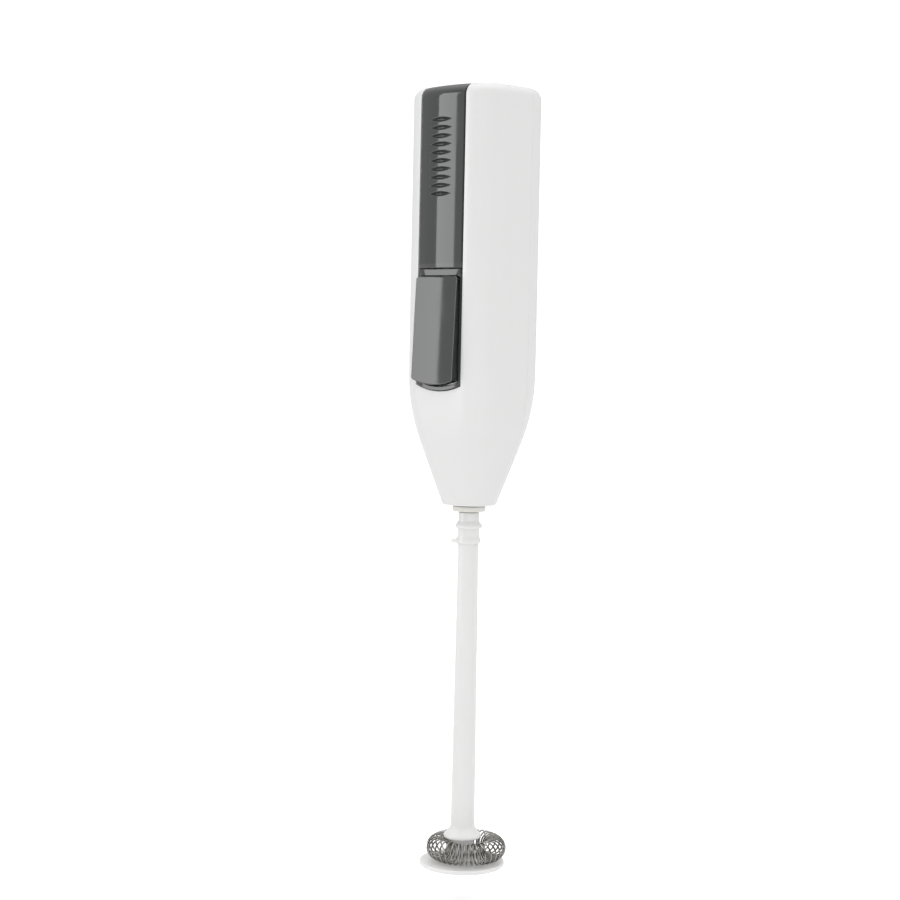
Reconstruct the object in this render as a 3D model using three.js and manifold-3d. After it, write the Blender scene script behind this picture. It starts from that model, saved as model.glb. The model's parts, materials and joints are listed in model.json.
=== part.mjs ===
// Hand-held milk frother: a rounded handle with a battery bay, a rocking power button and a
// small motor, which turns a pull-off whisk stem that ends in a disc and a ring-shaped coil.
// Millimetres. +Z runs up the spindle, -Y is the side with the button, and the origin is the
// centre of the whisk disc's underside.

import * as THREE from 'three';
import { mergeVertices } from 'three/addons/utils/BufferGeometryUtils.js';
import Module from 'manifold-3d';

const wasm = await Module();
wasm.setup();

// ---------------------------------------------------------------- driving dimensions

const gap = 0.3;
const roundSides = 24;
const smallSides = 16;

const body = {
  width: 30,
  depth: 24,
  top: 199,
  noseEnd: 92.7,
  noseRadius: 6.75,
  cornerRadius: 7.1,
  wall: 1.6,
  topFillet: 3,
  crown: 0.6,
  shoulder: 117.1,
  shoulderBlend: 9,
  seam: 4.85,
};

const slot = {
  halfWidth: 8.05,
  bottom: 121.7,
  bottomSag: 1.5,
  back: -9.8,
};

const strip = {
  halfWidth: slot.halfWidth - gap,
  proud: 0.8,
  coverBottom: 152.5,
  lipBack: slot.back - gap,
  thickness: 2.2,
};

const groove = {
  count: 10,
  first: 171.1,
  pitch: 2.06,
  halfLength: 3.9,
  halfHeight: 0.62,
  depth: 0.55,
};

const rail = {
  inner: 7.0,
  outer: 8.8,
  front: -9.95,
  back: -8.95,
  bottom: 155,
  top: 190,
};

const frame = {
  top: 152.1,
  bottom: slot.bottom + gap,
  front: -12.35,
  sideFront: -11.9,
  flatHalfWidth: 5.8,
  back: -10.5,
  windowHalfWidth: 7.15,
  windowTop: 150.8,
  windowBottom: 122.9,
  earInner: 6.5,
  earFront: -11.65,
  earBack: -9.2,
  earHeight: 2.8,
};

const button = {
  halfWidth: frame.windowHalfWidth - 0.2,
  top: 150.5,
  bottom: 123.3,
  bottomSag: 1.3,
  dish: 0.18,
  topFace: -12.9,
  bottomFace: -14.45,
  rimBack: -11.7,
  reliefBack: -12.0,
  reliefBottom: 146.4,
  wall: 1.2,
  edge: 0.5,
  nubHeight: 130,
  nubRadius: 1.6,
  nubBack: -11.25,
};

const buttonHinge = {
  y: -10.4,
  z: 148.6,
  pinRadius: 0.6,
  boreRadius: 0.85,
  barrelRadius: 1.1,
  barrelInner: 3.6,
  barrelOuter: 6.2,
};

const tray = {
  sideInner: 5.5,
  sideOuter: 6.6,
  halfDepth: 8.9,
  floor: 146.8,
  floorThickness: 1.1,
  roof: 195.8,
  roofThickness: 0.7,
};

const cell = {
  radius: 5.05,
  length: 44.5,
  nippleRadius: 1.9,
  nippleHeight: 0.8,
  spacing: 5.15,
  frontBase: 150.3,
  rearTop: 192.3,
};

const contact = {
  thickness: 0.4,
  halfWidth: 4.7,
  inner: 1.0,
  outer: 9.1,
  tabFront: 9.5,
  tabBack: 9.9,
  tabHalfWidth: 1.6,
  tabBottom: 143.6,
  springWire: 0.28,
  springWide: 3.3,
  springNarrow: 2.0,
  springTurns: 3,
};

const switchParts = {
  halfWidth: 4.6,
  plateFront: -8.35,
  plateBack: -7.85,
  plateBottom: 124.8,
  plateTop: 143.2,
  blockFront: -10.3,
  blockBottom: 138.9,
  blockTop: 142.8,
  leafFront: -10.9,
  leafThickness: 0.3,
  leafHalfWidth: 2.3,
  leafBottom: 126.6,
  leafTop: 144.4,
  fixedBottom: 126.6,
  fixedTop: 137.4,
  fixedFront: -8.98,
};

const motor = {
  radius: 10.05,
  halfDepth: 7.55,
  wall: 0.7,
  front: 111,
  canRear: 134.5,
  capRear: 137.2,
  bossRadius: 3.1,
  bossHeight: 1.4,
  bushRadius: 2.55,
  rearBossRadius: 4.2,
  rearBossHeight: 1.6,
  magnetInner: 6.3,
  magnetOuter: 9.05,
  magnetHalfAngle: 0.78,
  magnetBottom: 114,
  magnetTop: 128,
};

const rotor = {
  shaftRadius: 1.0,
  shaftBottom: 100.5,
  shaftTop: 137.6,
  coreRadius: 5.9,
  coreHub: 2.2,
  coreBottom: 115.4,
  coreTop: 126,
  toothHalfWidth: 1.15,
  shoeThickness: 1.0,
  shoeHalfAngle: 0.82,
  windingInner: 2.6,
  windingOuter: 4.0,
  windingHalfWidth: 2.2,
  windingOverhang: 1.3,
  commutatorRadius: 2.2,
  commutatorBottom: 128.6,
  commutatorTop: 133,
};

const terminal = { x: 6.4, halfWidth: 1.1, thickness: 0.5, top: 140.6, bottom: 133.4 };

const brush = {
  thickness: 0.5,
  halfWidth: 1.2,
  bottom: 129.4,
  top: 134.3,
};

const rib = {
  heights: [113.5, 129.5],
  thickness: 1.4,
  uprightThickness: 1.2,
  uprightBottom: 150,
  uprightTop: 190,
  uprightSetBack: 1.5,
};

const lead = { radius: 0.55, sides: 8 };

const coupling = {
  collarRadius: 4.25,
  collarBottom: 91,
  collarTop: 92.3,
  socketOuter: 2.95,
  socketRadius: 1.95,
  socketTop: 99.2,
  shoulder: 100.6,
  shankOuter: 2.4,
  top: 108.8,
};

const noseBore = { radius: coupling.socketOuter + 0.45, height: 1.8 };

const stem = {
  spigotRadius: 1.6,
  spigotTop: 98.6,
  top: coupling.collarBottom - gap,
  neckRadius: 2.7,
  upperRing: 87.2,
  upperRingRadius: 3.48,
  midRadius: 2.8,
  lowerRing: 83.3,
  lowerRingRadius: 3.2,
  ringSlope: 1.2,
  ringUnderside: 0.55,
  lugReach: 4.6,
  lugHalfWidth: 1.3,
  lugHalfHeight: 0.75,
  waistRadius: 2.62,
  waist: 81.4,
  footRadius: 3.08,
  foot: 10.4,
  flangeRadius: 4.85,
  flangeTop: 7.9,
  flangeBottom: 7.2,
  hubRadius: 2.9,
};

const disc = { radius: 10.9, thickness: 1.4, edge: 0.4, crown: 0.35 };

const coil = {
  ringRadius: 7.4,
  height: 4.4,
  loopRadius: 2.63,
  wireRadius: 0.22,
  turns: 35,
  stepsPerTurn: 8,
  wireSides: 6,
  opening: 0.12,
  offset: 1.0,
};

const towardsLug = -0.75 * Math.PI;
const coilShift = new THREE.Vector2(coil.offset, 0).rotateAround(new THREE.Vector2(), Math.PI / 4);

// ---------------------------------------------------------------- materials

function plastic(hex, roughness) {
  return new THREE.MeshStandardMaterial({ color: hex, roughness, metalness: 0 });
}

function metal(hex, roughness) {
  return new THREE.MeshStandardMaterial({ color: hex, roughness, metalness: 1 });
}

const materials = {
  whitePlastic: plastic(0xeeeeec, 0.35),
  greyPlastic: plastic(0x5d6063, 0.22),
  stemPlastic: plastic(0xf0f0ee, 0.4),
  nylon: plastic(0xe6e0cf, 0.5),
  phenolic: plastic(0x6b4a2a, 0.6),
  cellJacket: plastic(0x3c5a50, 0.35),
  redInsulation: plastic(0xa02020, 0.5),
  blackInsulation: plastic(0x181818, 0.5),
  magnet: plastic(0x33302e, 0.7),
  steel: metal(0xb9bcc0, 0.25),
  zincSteel: metal(0xa9acae, 0.35),
  nickel: metal(0xc9c6bd, 0.25),
  brass: metal(0xc7a252, 0.3),
  copper: metal(0xb56a3c, 0.35),
  lamination: metal(0x77797b, 0.5),
};

// ---------------------------------------------------------------- solids and booleans

function solidFrom(geometry) {
  const bare = geometry.index ? geometry.toNonIndexed() : geometry.clone();
  bare.deleteAttribute('normal');
  bare.deleteAttribute('uv');
  const merged = mergeVertices(bare, 1e-4);
  const mesh = new wasm.Mesh({
    numProp: 3,
    vertProperties: new Float32Array(merged.attributes.position.array),
    triVerts: new Uint32Array(merged.index.array),
  });
  mesh.merge();
  return new wasm.Manifold(mesh);
}

function geometryFrom(solid) {
  const mesh = solid.getMesh();
  const geometry = new THREE.BufferGeometry();
  geometry.setAttribute('position', new THREE.BufferAttribute(mesh.vertProperties, 3));
  geometry.setIndex(new THREE.BufferAttribute(mesh.triVerts, 1));
  return geometry;
}

function join(first, ...others) {
  return others.reduce((sum, other) => sum.add(other), first);
}

function cut(first, ...others) {
  return others.reduce((rest, other) => rest.subtract(other), first);
}

function box(low, high) {
  const geometry = new THREE.BoxGeometry(high[0] - low[0], high[1] - low[1], high[2] - low[2]);
  geometry.translate((low[0] + high[0]) / 2, (low[1] + high[1]) / 2, (low[2] + high[2]) / 2);
  return solidFrom(geometry);
}

function centredBox(halfWidth, yLow, yHigh, zLow, zHigh) {
  return box([-halfWidth, yLow, zLow], [halfWidth, yHigh, zHigh]);
}

function prism(shape, length, basis, place, curveSegments = 6) {
  const geometry = new THREE.ExtrudeGeometry(shape, { depth: length, bevelEnabled: false, curveSegments });
  geometry.applyMatrix4(new THREE.Matrix4().makeBasis(...basis));
  geometry.translate(place.x, place.y, place.z);
  return solidFrom(geometry);
}

const unitX = new THREE.Vector3(1, 0, 0);
const unitY = new THREE.Vector3(0, 1, 0);
const unitZ = new THREE.Vector3(0, 0, 1);

function prismAlongX(shape, xLow, xHigh, curveSegments) {
  return prism(shape, xHigh - xLow, [unitY, unitZ, unitX], new THREE.Vector3(xLow, 0, 0), curveSegments);
}

function prismAlongY(shape, yLow, yHigh, curveSegments) {
  const basis = [unitX, unitZ, unitY.clone().negate()];
  return prism(shape, yHigh - yLow, basis, new THREE.Vector3(0, yHigh, 0), curveSegments);
}

function prismAlongZ(shape, zLow, zHigh, curveSegments) {
  return prism(shape, zHigh - zLow, [unitX, unitY, unitZ], new THREE.Vector3(0, 0, zLow), curveSegments);
}

function polygon(points) {
  return new THREE.Shape(points.map(([u, v]) => new THREE.Vector2(u, v)));
}

// A tongue: straight sides, a flat top, and a lower end that is one shallow arc.
function tongue(halfWidth, bottom, top, sag) {
  const radius = (halfWidth ** 2 + sag ** 2) / (2 * sag);
  const halfAngle = Math.asin(halfWidth / radius);
  const shape = new THREE.Shape();
  shape.moveTo(halfWidth, bottom + sag);
  shape.lineTo(halfWidth, top);
  shape.lineTo(-halfWidth, top);
  shape.lineTo(-halfWidth, bottom + sag);
  shape.absarc(0, bottom + radius, radius, 1.5 * Math.PI - halfAngle, 1.5 * Math.PI + halfAngle, false);
  return shape;
}

// A turned solid about the Z axis from a profile of [radius, height] that starts and ends on it
// or closes on itself.
function turned(profile, sides = roundSides, x = 0, y = 0) {
  const points = profile.map(([radius, height]) => new THREE.Vector2(radius, height));
  const geometry = new THREE.LatheGeometry(points, sides);
  geometry.applyMatrix4(new THREE.Matrix4().makeBasis(unitX, unitZ, unitY.clone().negate()));
  geometry.translate(x, y, 0);
  return solidFrom(geometry);
}

function rod(radius, zLow, zHigh, x = 0, y = 0, sides = roundSides) {
  const geometry = new THREE.CylinderGeometry(radius, radius, zHigh - zLow, sides);
  geometry.rotateX(Math.PI / 2);
  geometry.translate(x, y, (zLow + zHigh) / 2);
  return solidFrom(geometry);
}

function rodAlongX(radius, xLow, xHigh, y, z) {
  const geometry = new THREE.CylinderGeometry(radius, radius, xHigh - xLow, smallSides);
  geometry.rotateZ(Math.PI / 2);
  geometry.translate((xLow + xHigh) / 2, y, z);
  return solidFrom(geometry);
}

// A wire of round section along a curve, with flat ends.
function wireAlong(curve, radius, steps, sides) {
  const section = new THREE.Shape();
  section.absarc(0, 0, radius, 0, 2 * Math.PI);
  const settings = { steps, extrudePath: curve, curveSegments: sides / 2 };
  return solidFrom(new THREE.ExtrudeGeometry(section, settings));
}

class ConicalHelix extends THREE.Curve {
  constructor(x, y, zStart, zEnd, startRadius, endRadius, turns) {
    super();
    Object.assign(this, { x, y, zStart, zEnd, startRadius, endRadius, turns });
  }

  getPoint(t) {
    const angle = 2 * Math.PI * this.turns * t;
    const radius = THREE.MathUtils.lerp(this.startRadius, this.endRadius, t);
    const height = THREE.MathUtils.lerp(this.zStart, this.zEnd, t);
    return new THREE.Vector3(this.x + radius * Math.cos(angle), this.y + radius * Math.sin(angle), height);
  }
}

class RingHelix extends THREE.Curve {
  getPoint(t) {
    const around = towardsLug + coil.opening / 2 + (2 * Math.PI - coil.opening) * t;
    const winding = 2 * Math.PI * coil.turns * t;
    const reach = coil.ringRadius - coil.loopRadius * Math.cos(winding);
    const height = coil.height + coil.loopRadius * Math.sin(winding);
    const x = coilShift.x + reach * Math.cos(around);
    const y = coilShift.y + reach * Math.sin(around);
    return new THREE.Vector3(x, y, height);
  }
}

// ---------------------------------------------------------------- the handle's outer form

// How far the section has grown from the round nose (0) to the full rounded rectangle (1):
// a straight cone, then a parabolic blend into the parallel body.
function growth(z) {
  const slope = 1 / (body.shoulder - body.noseEnd);
  const blendEnd = body.shoulder + body.shoulderBlend;
  if (z >= blendEnd) return 1;
  if (z <= body.shoulder - body.shoulderBlend) return slope * (z - body.noseEnd);
  return 1 - (slope * (blendEnd - z) ** 2) / (4 * body.shoulderBlend);
}

function bodySection(z, inset) {
  const share = growth(z);
  return {
    z,
    halfWidth: THREE.MathUtils.lerp(body.noseRadius, body.width / 2, share) - inset,
    halfDepth: THREE.MathUtils.lerp(body.noseRadius, body.depth / 2, share) - inset,
    corner: THREE.MathUtils.lerp(body.noseRadius * 0.97, body.cornerRadius, share) - inset,
  };
}

function sectionPoints({ z, halfWidth, halfDepth, corner }) {
  const cornerSteps = 5;
  const points = [];
  for (let quarter = 0; quarter < 4; quarter += 1) {
    const signX = quarter === 0 || quarter === 3 ? 1 : -1;
    const signY = quarter < 2 ? 1 : -1;
    for (let step = 0; step <= cornerSteps; step += 1) {
      const angle = (quarter + step / cornerSteps) * (Math.PI / 2);
      const x = signX * (halfWidth - corner) + corner * Math.cos(angle);
      const y = signY * (halfDepth - corner) + corner * Math.sin(angle);
      points.push(new THREE.Vector3(x, y, z));
    }
  }
  return points;
}

function loft(sections, topHeight) {
  const rings = sections.map(sectionPoints);
  const count = rings[0].length;
  const positions = rings.flat().flatMap((point) => point.toArray());
  positions.push(0, 0, sections[0].z, 0, 0, topHeight);
  const lowerCentre = rings.length * count;
  const upperCentre = lowerCentre + 1;
  const lastRing = (rings.length - 1) * count;
  const faces = [];
  for (let index = 0; index < count; index += 1) {
    const next = (index + 1) % count;
    faces.push(lowerCentre, next, index);
    faces.push(upperCentre, lastRing + index, lastRing + next);
    for (let base = 0; base < lastRing; base += count) {
      faces.push(base + index, base + next, base + count + next);
      faces.push(base + index, base + count + next, base + count + index);
    }
  }
  const geometry = new THREE.BufferGeometry();
  geometry.setAttribute('position', new THREE.Float32BufferAttribute(positions, 3));
  geometry.setIndex(faces);
  return solidFrom(geometry);
}

// The handle's form moved in by inset all round, and down by topInset at the top.
function bodyForm(inset, topInset, bottom) {
  const coneSteps = 2;
  const blendSteps = 6;
  const filletSteps = 4;
  const crownSteps = [0.75, 0.45, 0.15];
  const blendStart = body.shoulder - body.shoulderBlend;
  const fillet = body.topFillet - Math.max(inset, 0) * 0.9;
  const edgeTop = body.top - body.crown - topInset;
  const sections = [];
  for (let step = 0; step < coneSteps; step += 1) {
    sections.push(bodySection(THREE.MathUtils.lerp(bottom, blendStart, step / coneSteps), inset));
  }
  for (let step = 0; step <= blendSteps; step += 1) {
    sections.push(bodySection(blendStart + (2 * body.shoulderBlend * step) / blendSteps, inset));
  }
  for (let step = 0; step <= filletSteps; step += 1) {
    const angle = (step / filletSteps) * (Math.PI / 2);
    const z = edgeTop - fillet + fillet * Math.sin(angle);
    sections.push({ ...bodySection(z, inset + fillet * (1 - Math.cos(angle))), z });
  }
  const edge = sections.at(-1);
  for (const scale of crownSteps) {
    sections.push({
      z: edgeTop + body.crown * (1 - scale ** 2),
      halfWidth: edge.halfWidth * scale,
      halfDepth: edge.halfDepth * scale,
      corner: edge.corner * scale,
    });
  }
  return loft(sections, edgeTop + body.crown);
}

const outerForm = bodyForm(0, 0, body.noseEnd);
const innerForm = bodyForm(body.wall, body.wall, body.noseEnd + noseBore.height);
// Ribs run into the middle of the wall, so that they join it.
const ribForm = bodyForm(body.wall / 2, body.wall / 2, body.noseEnd);
const proudForm = bodyForm(-strip.proud, 0, body.noseEnd);
const coverInside = bodyForm(strip.thickness - strip.proud, body.wall, body.noseEnd);

// ---------------------------------------------------------------- handle shells

function stripSlot() {
  const { halfWidth, bottom, bottomSag, back } = slot;
  return prismAlongY(tongue(halfWidth, bottom, body.top + 5, bottomSag), -body.depth, back);
}

function railNotches() {
  const notch = (side) => {
    const low = side > 0 ? rail.inner : -rail.outer - gap;
    const high = side > 0 ? rail.outer + gap : -rail.inner;
    return box([low, rail.front - gap, tray.roof], [high, rail.back + gap, body.top + 1]);
  };
  return join(notch(1), notch(-1));
}

// A cross rib of the shells, with a window in the shape of the motor.
function motorRib(z) {
  const top = z + rib.thickness;
  const plate = centredBox(body.width, -body.depth, body.depth, z, top).intersect(ribForm);
  return cut(plate, motorOutline(gap, z - 1, top + 1));
}

function ribbedShell() {
  const hollow = cut(outerForm, innerForm, rod(noseBore.radius, body.noseEnd - 1, body.noseEnd + 5));
  const ribs = rib.heights.map(motorRib);
  return join(hollow, ...ribs);
}

function frontShell() {
  const behindSeam = box([-body.width, body.seam - gap / 2, 0], [body.width, body.depth, body.top + 5]);
  const clearance = box(
    [-slot.halfWidth, slot.back - 1, slot.bottom + slot.bottomSag],
    [slot.halfWidth, switchParts.plateBack + gap, frame.top],
  );
  return cut(ribbedShell(), behindSeam, stripSlot(), railNotches(), clearance);
}

// The rear cover's two upright ribs stand beside the battery tray and steady it.
function rearCover() {
  const beforeSeam = box([-body.width, -body.depth, 0], [body.width, body.seam + gap / 2, body.top + 5]);
  const ribInner = tray.sideOuter + gap;
  const ribOuter = ribInner + rib.uprightThickness;
  const ribFront = body.seam + rib.uprightSetBack;
  const uprights = [1, -1].map((side) => {
    const low = Math.min(side * ribInner, side * ribOuter);
    const high = Math.max(side * ribInner, side * ribOuter);
    const upright = box([low, ribFront, rib.uprightBottom], [high, body.depth, rib.uprightTop]);
    return upright.intersect(ribForm);
  });
  return join(cut(ribbedShell(), beforeSeam), ...uprights);
}

// ---------------------------------------------------------------- battery cover

// The strip's section: a shallow outward arc between two edges flush with the shell.
function stripSection() {
  const { halfWidth, proud, lipBack } = strip;
  const radius = (halfWidth ** 2 + proud ** 2) / (2 * proud);
  const halfAngle = Math.asin(halfWidth / radius);
  const shape = new THREE.Shape();
  shape.moveTo(halfWidth, lipBack);
  shape.lineTo(-halfWidth, lipBack);
  shape.lineTo(-halfWidth, -body.depth / 2);
  const centre = radius - proud - body.depth / 2;
  shape.absarc(0, centre, radius, 1.5 * Math.PI - halfAngle, 1.5 * Math.PI + halfAngle, false);
  return shape;
}

// A lens-shaped cutter lying across the strip: one thumb groove.
function thumbGroove(index) {
  const z = groove.first + groove.pitch * index;
  const front = -body.depth / 2 - strip.proud;
  const shape = new THREE.Shape();
  shape.moveTo(-groove.halfLength, z);
  shape.quadraticCurveTo(0, z - 2 * groove.halfHeight, groove.halfLength, z);
  shape.quadraticCurveTo(0, z + 2 * groove.halfHeight, -groove.halfLength, z);
  return prismAlongY(shape, front - 1, front + groove.depth, 4);
}

function coverRail(side) {
  const low = side > 0 ? rail.inner : -rail.outer;
  const high = side > 0 ? rail.outer : -rail.inner;
  const webLow = side > 0 ? rail.inner : -strip.halfWidth;
  const webHigh = side > 0 ? strip.halfWidth : -rail.inner;
  const runner = box([low, rail.front, rail.bottom], [high, rail.back, rail.top]);
  const web = box([webLow, -body.depth / 2, rail.bottom], [webHigh, rail.back, rail.top]);
  return join(runner, web);
}

function batteryCover() {
  const blank = prismAlongZ(stripSection(), strip.coverBottom, body.top + 1).intersect(proudForm);
  const plate = cut(blank, coverInside);
  const grooves = Array.from({ length: groove.count }, (_, index) => thumbGroove(index));
  return cut(join(plate, coverRail(1), coverRail(-1)), ...grooves);
}

// ---------------------------------------------------------------- button and its frame

function frameEar(side) {
  const low = side > 0 ? frame.earInner : -strip.halfWidth;
  const high = side > 0 ? strip.halfWidth : -frame.earInner;
  const half = frame.earHeight / 2;
  return box([low, frame.earFront, buttonHinge.z - half], [high, frame.earBack, buttonHinge.z + half]);
}

// The frame's face seen from above: flat in the middle, and falling back towards both sides.
function frameSection() {
  const { halfWidth } = strip;
  const { front, sideFront, flatHalfWidth, back } = frame;
  return polygon([
    [halfWidth, back],
    [-halfWidth, back],
    [-halfWidth, sideFront],
    [-flatHalfWidth, front],
    [flatHalfWidth, front],
    [halfWidth, sideFront],
  ]);
}

function buttonFrame() {
  const { halfWidth } = strip;
  const { windowHalfWidth, windowBottom, windowTop } = frame;
  const outline = tongue(halfWidth, frame.bottom, frame.top, slot.bottomSag);
  const window = tongue(windowHalfWidth, windowBottom, windowTop, button.bottomSag);
  const face = prismAlongZ(frameSection(), frame.bottom - 1, frame.top + 1);
  const plate = prismAlongY(outline, frame.front, frame.back).intersect(face);
  const ring = cut(plate, prismAlongY(window, -body.depth, 0));
  const { y, z, boreRadius } = buttonHinge;
  const bores = rodAlongX(boreRadius, -halfWidth - 1, halfWidth + 1, y, z);
  return cut(join(ring, frameEar(1), frameEar(-1)), bores);
}

// The button's side view: a wedge that stands out further at its lower end.
function buttonProfile(inset) {
  const slope = (button.topFace - button.bottomFace) / (button.top - button.bottom);
  const low = button.bottom + inset;
  const high = button.top - inset;
  const faceAt = (z) => button.bottomFace + slope * (z - button.bottom) + inset;
  const edge = inset > 0 ? 0 : button.edge;
  return polygon([
    [faceAt(high), high - edge],
    [faceAt(high) + edge, high],
    [button.rimBack + inset, high],
    [button.rimBack + inset, low],
    [faceAt(low) + edge, low],
    [faceAt(low), low + edge],
  ]);
}

// A long cylinder lying along the face, which leaves a shallow dish for the finger.
function faceDish() {
  const reach = button.halfWidth - button.edge;
  const radius = (reach ** 2 + button.dish ** 2) / (2 * button.dish);
  const lean = Math.atan2(button.topFace - button.bottomFace, button.top - button.bottom);
  const middle = new THREE.Vector3(
    0, (button.topFace + button.bottomFace) / 2, (button.top + button.bottom) / 2,
  );
  const reamer = new THREE.CylinderGeometry(radius, radius, 40, 120);
  reamer.rotateX(Math.PI / 2);
  reamer.translate(0, button.dish - radius, 0);
  reamer.rotateX(-lean);
  reamer.translate(middle.x, middle.y, middle.z);
  return solidFrom(reamer);
}

// One of the two lugs behind the button's upper end, with its hinge pin.
function buttonLug(side) {
  const { y, z, pinRadius, barrelRadius, barrelInner, barrelOuter } = buttonHinge;
  const pinEnd = strip.halfWidth - 0.1;
  const span = (a, b) => [Math.min(side * a, side * b), Math.max(side * a, side * b)];
  const [low, high] = span(barrelInner, barrelOuter);
  const barrel = rodAlongX(barrelRadius, low, high, y, z);
  const neck = box([low, -12.4, z - 0.9], [high, y, z + 0.9]);
  const pin = rodAlongX(pinRadius, ...span(barrelInner + 0.5, pinEnd), y, z);
  return join(barrel, neck, pin);
}

function powerButton() {
  const { halfWidth, wall, bottom, bottomSag, top } = button;
  const wedge = prismAlongX(buttonProfile(0), -halfWidth, halfWidth);
  const outside = wedge.intersect(prismAlongY(tongue(halfWidth, bottom, top, bottomSag), -20, 0));
  const innerShape = tongue(halfWidth - wall, bottom + wall, top - wall, bottomSag);
  const inside = prismAlongX(buttonProfile(wall), -halfWidth, halfWidth)
    .intersect(prismAlongY(innerShape, -20, 0));
  const relief = centredBox(halfWidth + 1, button.reliefBack, 0, button.reliefBottom, top + 1);
  const hollow = cut(outside, inside, relief, faceDish());
  const nub = new THREE.CylinderGeometry(button.nubRadius, button.nubRadius, 2.6, smallSides);
  nub.translate(0, button.nubBack - 1.3, button.nubHeight);
  return join(hollow, buttonLug(1), buttonLug(-1), solidFrom(nub));
}

// ---------------------------------------------------------------- batteries and contacts

function batteryTray() {
  const { sideInner, sideOuter, halfDepth, floor, floorThickness, roof, roofThickness } = tray;
  const side = (low, high) => box([low, -halfDepth, floor - floorThickness], [high, halfDepth, roof + roofThickness]);
  const floorPlate = centredBox(sideOuter, -halfDepth, halfDepth, floor - floorThickness, floor);
  const roofPlate = centredBox(sideOuter, -halfDepth, halfDepth, roof, roof + roofThickness);
  return join(side(sideInner, sideOuter), side(-sideOuter, -sideInner), floorPlate, roofPlate);
}

function cellProfile(base) {
  const bodyTop = base + cell.length - cell.nippleHeight;
  const edge = 0.5;
  return [
    [0, base],
    [cell.radius - edge, base],
    [cell.radius, base + edge],
    [cell.radius, bodyTop - edge],
    [cell.radius - edge, bodyTop],
    [cell.nippleRadius, bodyTop],
    [cell.nippleRadius, base + cell.length],
    [0, base + cell.length],
  ];
}

function frontCell() {
  return turned(cellProfile(cell.frontBase), roundSides, 0, -cell.spacing);
}

// The rear cell stands on its head, because the two are in series.
function rearCell() {
  const upright = turned(cellProfile(0), roundSides, 0, -cell.spacing);
  return upright.rotate([180, 0, 0]).translate([0, 0, cell.rearTop]);
}

function contactSpring(y, zPlate, zFree) {
  const { springWide, springNarrow, springTurns, springWire } = contact;
  const path = new ConicalHelix(0, y, zPlate, zFree, springWide, springNarrow, springTurns);
  return wireAlong(path, springWire, springTurns * 10, 6);
}

function contactPlate(side, zLow) {
  const inner = side * contact.inner;
  const outer = side * contact.outer;
  const tabOuter = side * contact.tabBack;
  const tabInner = side * contact.tabFront;
  const zHigh = zLow + contact.thickness;
  const span = (a, b) => [Math.min(a, b), Math.max(a, b)];
  const plate = centredBox(contact.halfWidth, ...span(inner, outer), zLow, zHigh);
  const bridge = centredBox(contact.tabHalfWidth, ...span(inner, tabOuter), zLow, zHigh);
  const tab = centredBox(contact.tabHalfWidth, ...span(tabInner, tabOuter), contact.tabBottom, zHigh);
  return join(plate, bridge, tab);
}

function negativeSpring() {
  const plateLow = tray.floor + gap;
  const springStart = plateLow + contact.thickness;
  const springEnd = cell.frontBase - gap - contact.springWire;
  return join(contactPlate(-1, plateLow), contactSpring(-cell.spacing, springStart, springEnd));
}

function positiveContact() {
  return contactPlate(1, tray.floor + gap);
}

function linkContact() {
  const plateHigh = tray.roof - gap;
  const plateLow = plateHigh - contact.thickness;
  const plate = centredBox(contact.halfWidth, -contact.outer, contact.outer, plateLow, plateHigh);
  const springEnd = cell.rearTop + gap + contact.springWire;
  return join(plate, contactSpring(cell.spacing, plateLow, springEnd));
}

// ---------------------------------------------------------------- switch

function switchCarrier() {
  const { halfWidth, plateFront, plateBack, plateBottom, plateTop } = switchParts;
  const { blockFront, blockBottom, blockTop, leafHalfWidth } = switchParts;
  const plate = centredBox(halfWidth, plateFront, plateBack, plateBottom, plateTop);
  const block = centredBox(leafHalfWidth + 1, blockFront, plateFront + 0.1, blockBottom, blockTop);
  return join(plate, block);
}

function switchLeaf() {
  const { leafHalfWidth, leafFront, leafThickness, leafBottom, leafTop } = switchParts;
  const back = leafFront + leafThickness;
  const strap = centredBox(leafHalfWidth, leafFront, back, leafBottom, leafTop);
  const bead = new THREE.SphereGeometry(0.9, smallSides, 8);
  bead.translate(0, back, button.nubHeight - 1.5);
  const dimple = cut(solidFrom(bead), centredBox(leafHalfWidth, -body.depth, leafFront, leafBottom, leafTop));
  return join(strap, dimple);
}

function switchFixedContact() {
  const { leafHalfWidth, fixedFront, fixedBottom, fixedTop, plateFront } = switchParts;
  return centredBox(leafHalfWidth, fixedFront, plateFront - gap, fixedBottom, fixedTop);
}

// ---------------------------------------------------------------- motor

function motorOutline(offset, zLow, zHigh) {
  const round = rod(motor.radius + offset, zLow, zHigh);
  const flats = centredBox(motor.radius + 5, -motor.halfDepth - offset, motor.halfDepth + offset, zLow, zHigh);
  return round.intersect(flats);
}

function motorCan() {
  const { front, canRear, wall, bossRadius, bossHeight, bushRadius } = motor;
  const outside = motorOutline(0, front, canRear);
  const inside = motorOutline(-wall, front + wall, canRear + 1);
  const boss = rod(bossRadius, front - bossHeight, front + wall);
  const bore = rod(bushRadius, front - bossHeight - 1, front + wall + 1);
  return cut(join(outside, boss), inside, bore);
}

function motorEndCap() {
  const { canRear, capRear, rearBossRadius, rearBossHeight, bushRadius } = motor;
  const plate = motorOutline(0, canRear + gap, capRear);
  const boss = rod(rearBossRadius, capRear - 0.5, capRear + rearBossHeight);
  const bushPocket = rod(bushRadius + gap, canRear, capRear + 0.6);
  const slots = [1, -1].map((side) => terminalSlot(side));
  return cut(join(plate, boss), bushPocket, ...slots);
}

function terminalSlot(side) {
  const centre = side * terminal.x;
  const half = terminal.thickness / 2 + gap;
  const across = terminal.halfWidth + gap;
  return box([centre - half, -across, motor.canRear], [centre + half, across, motor.capRear + 1]);
}

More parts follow.
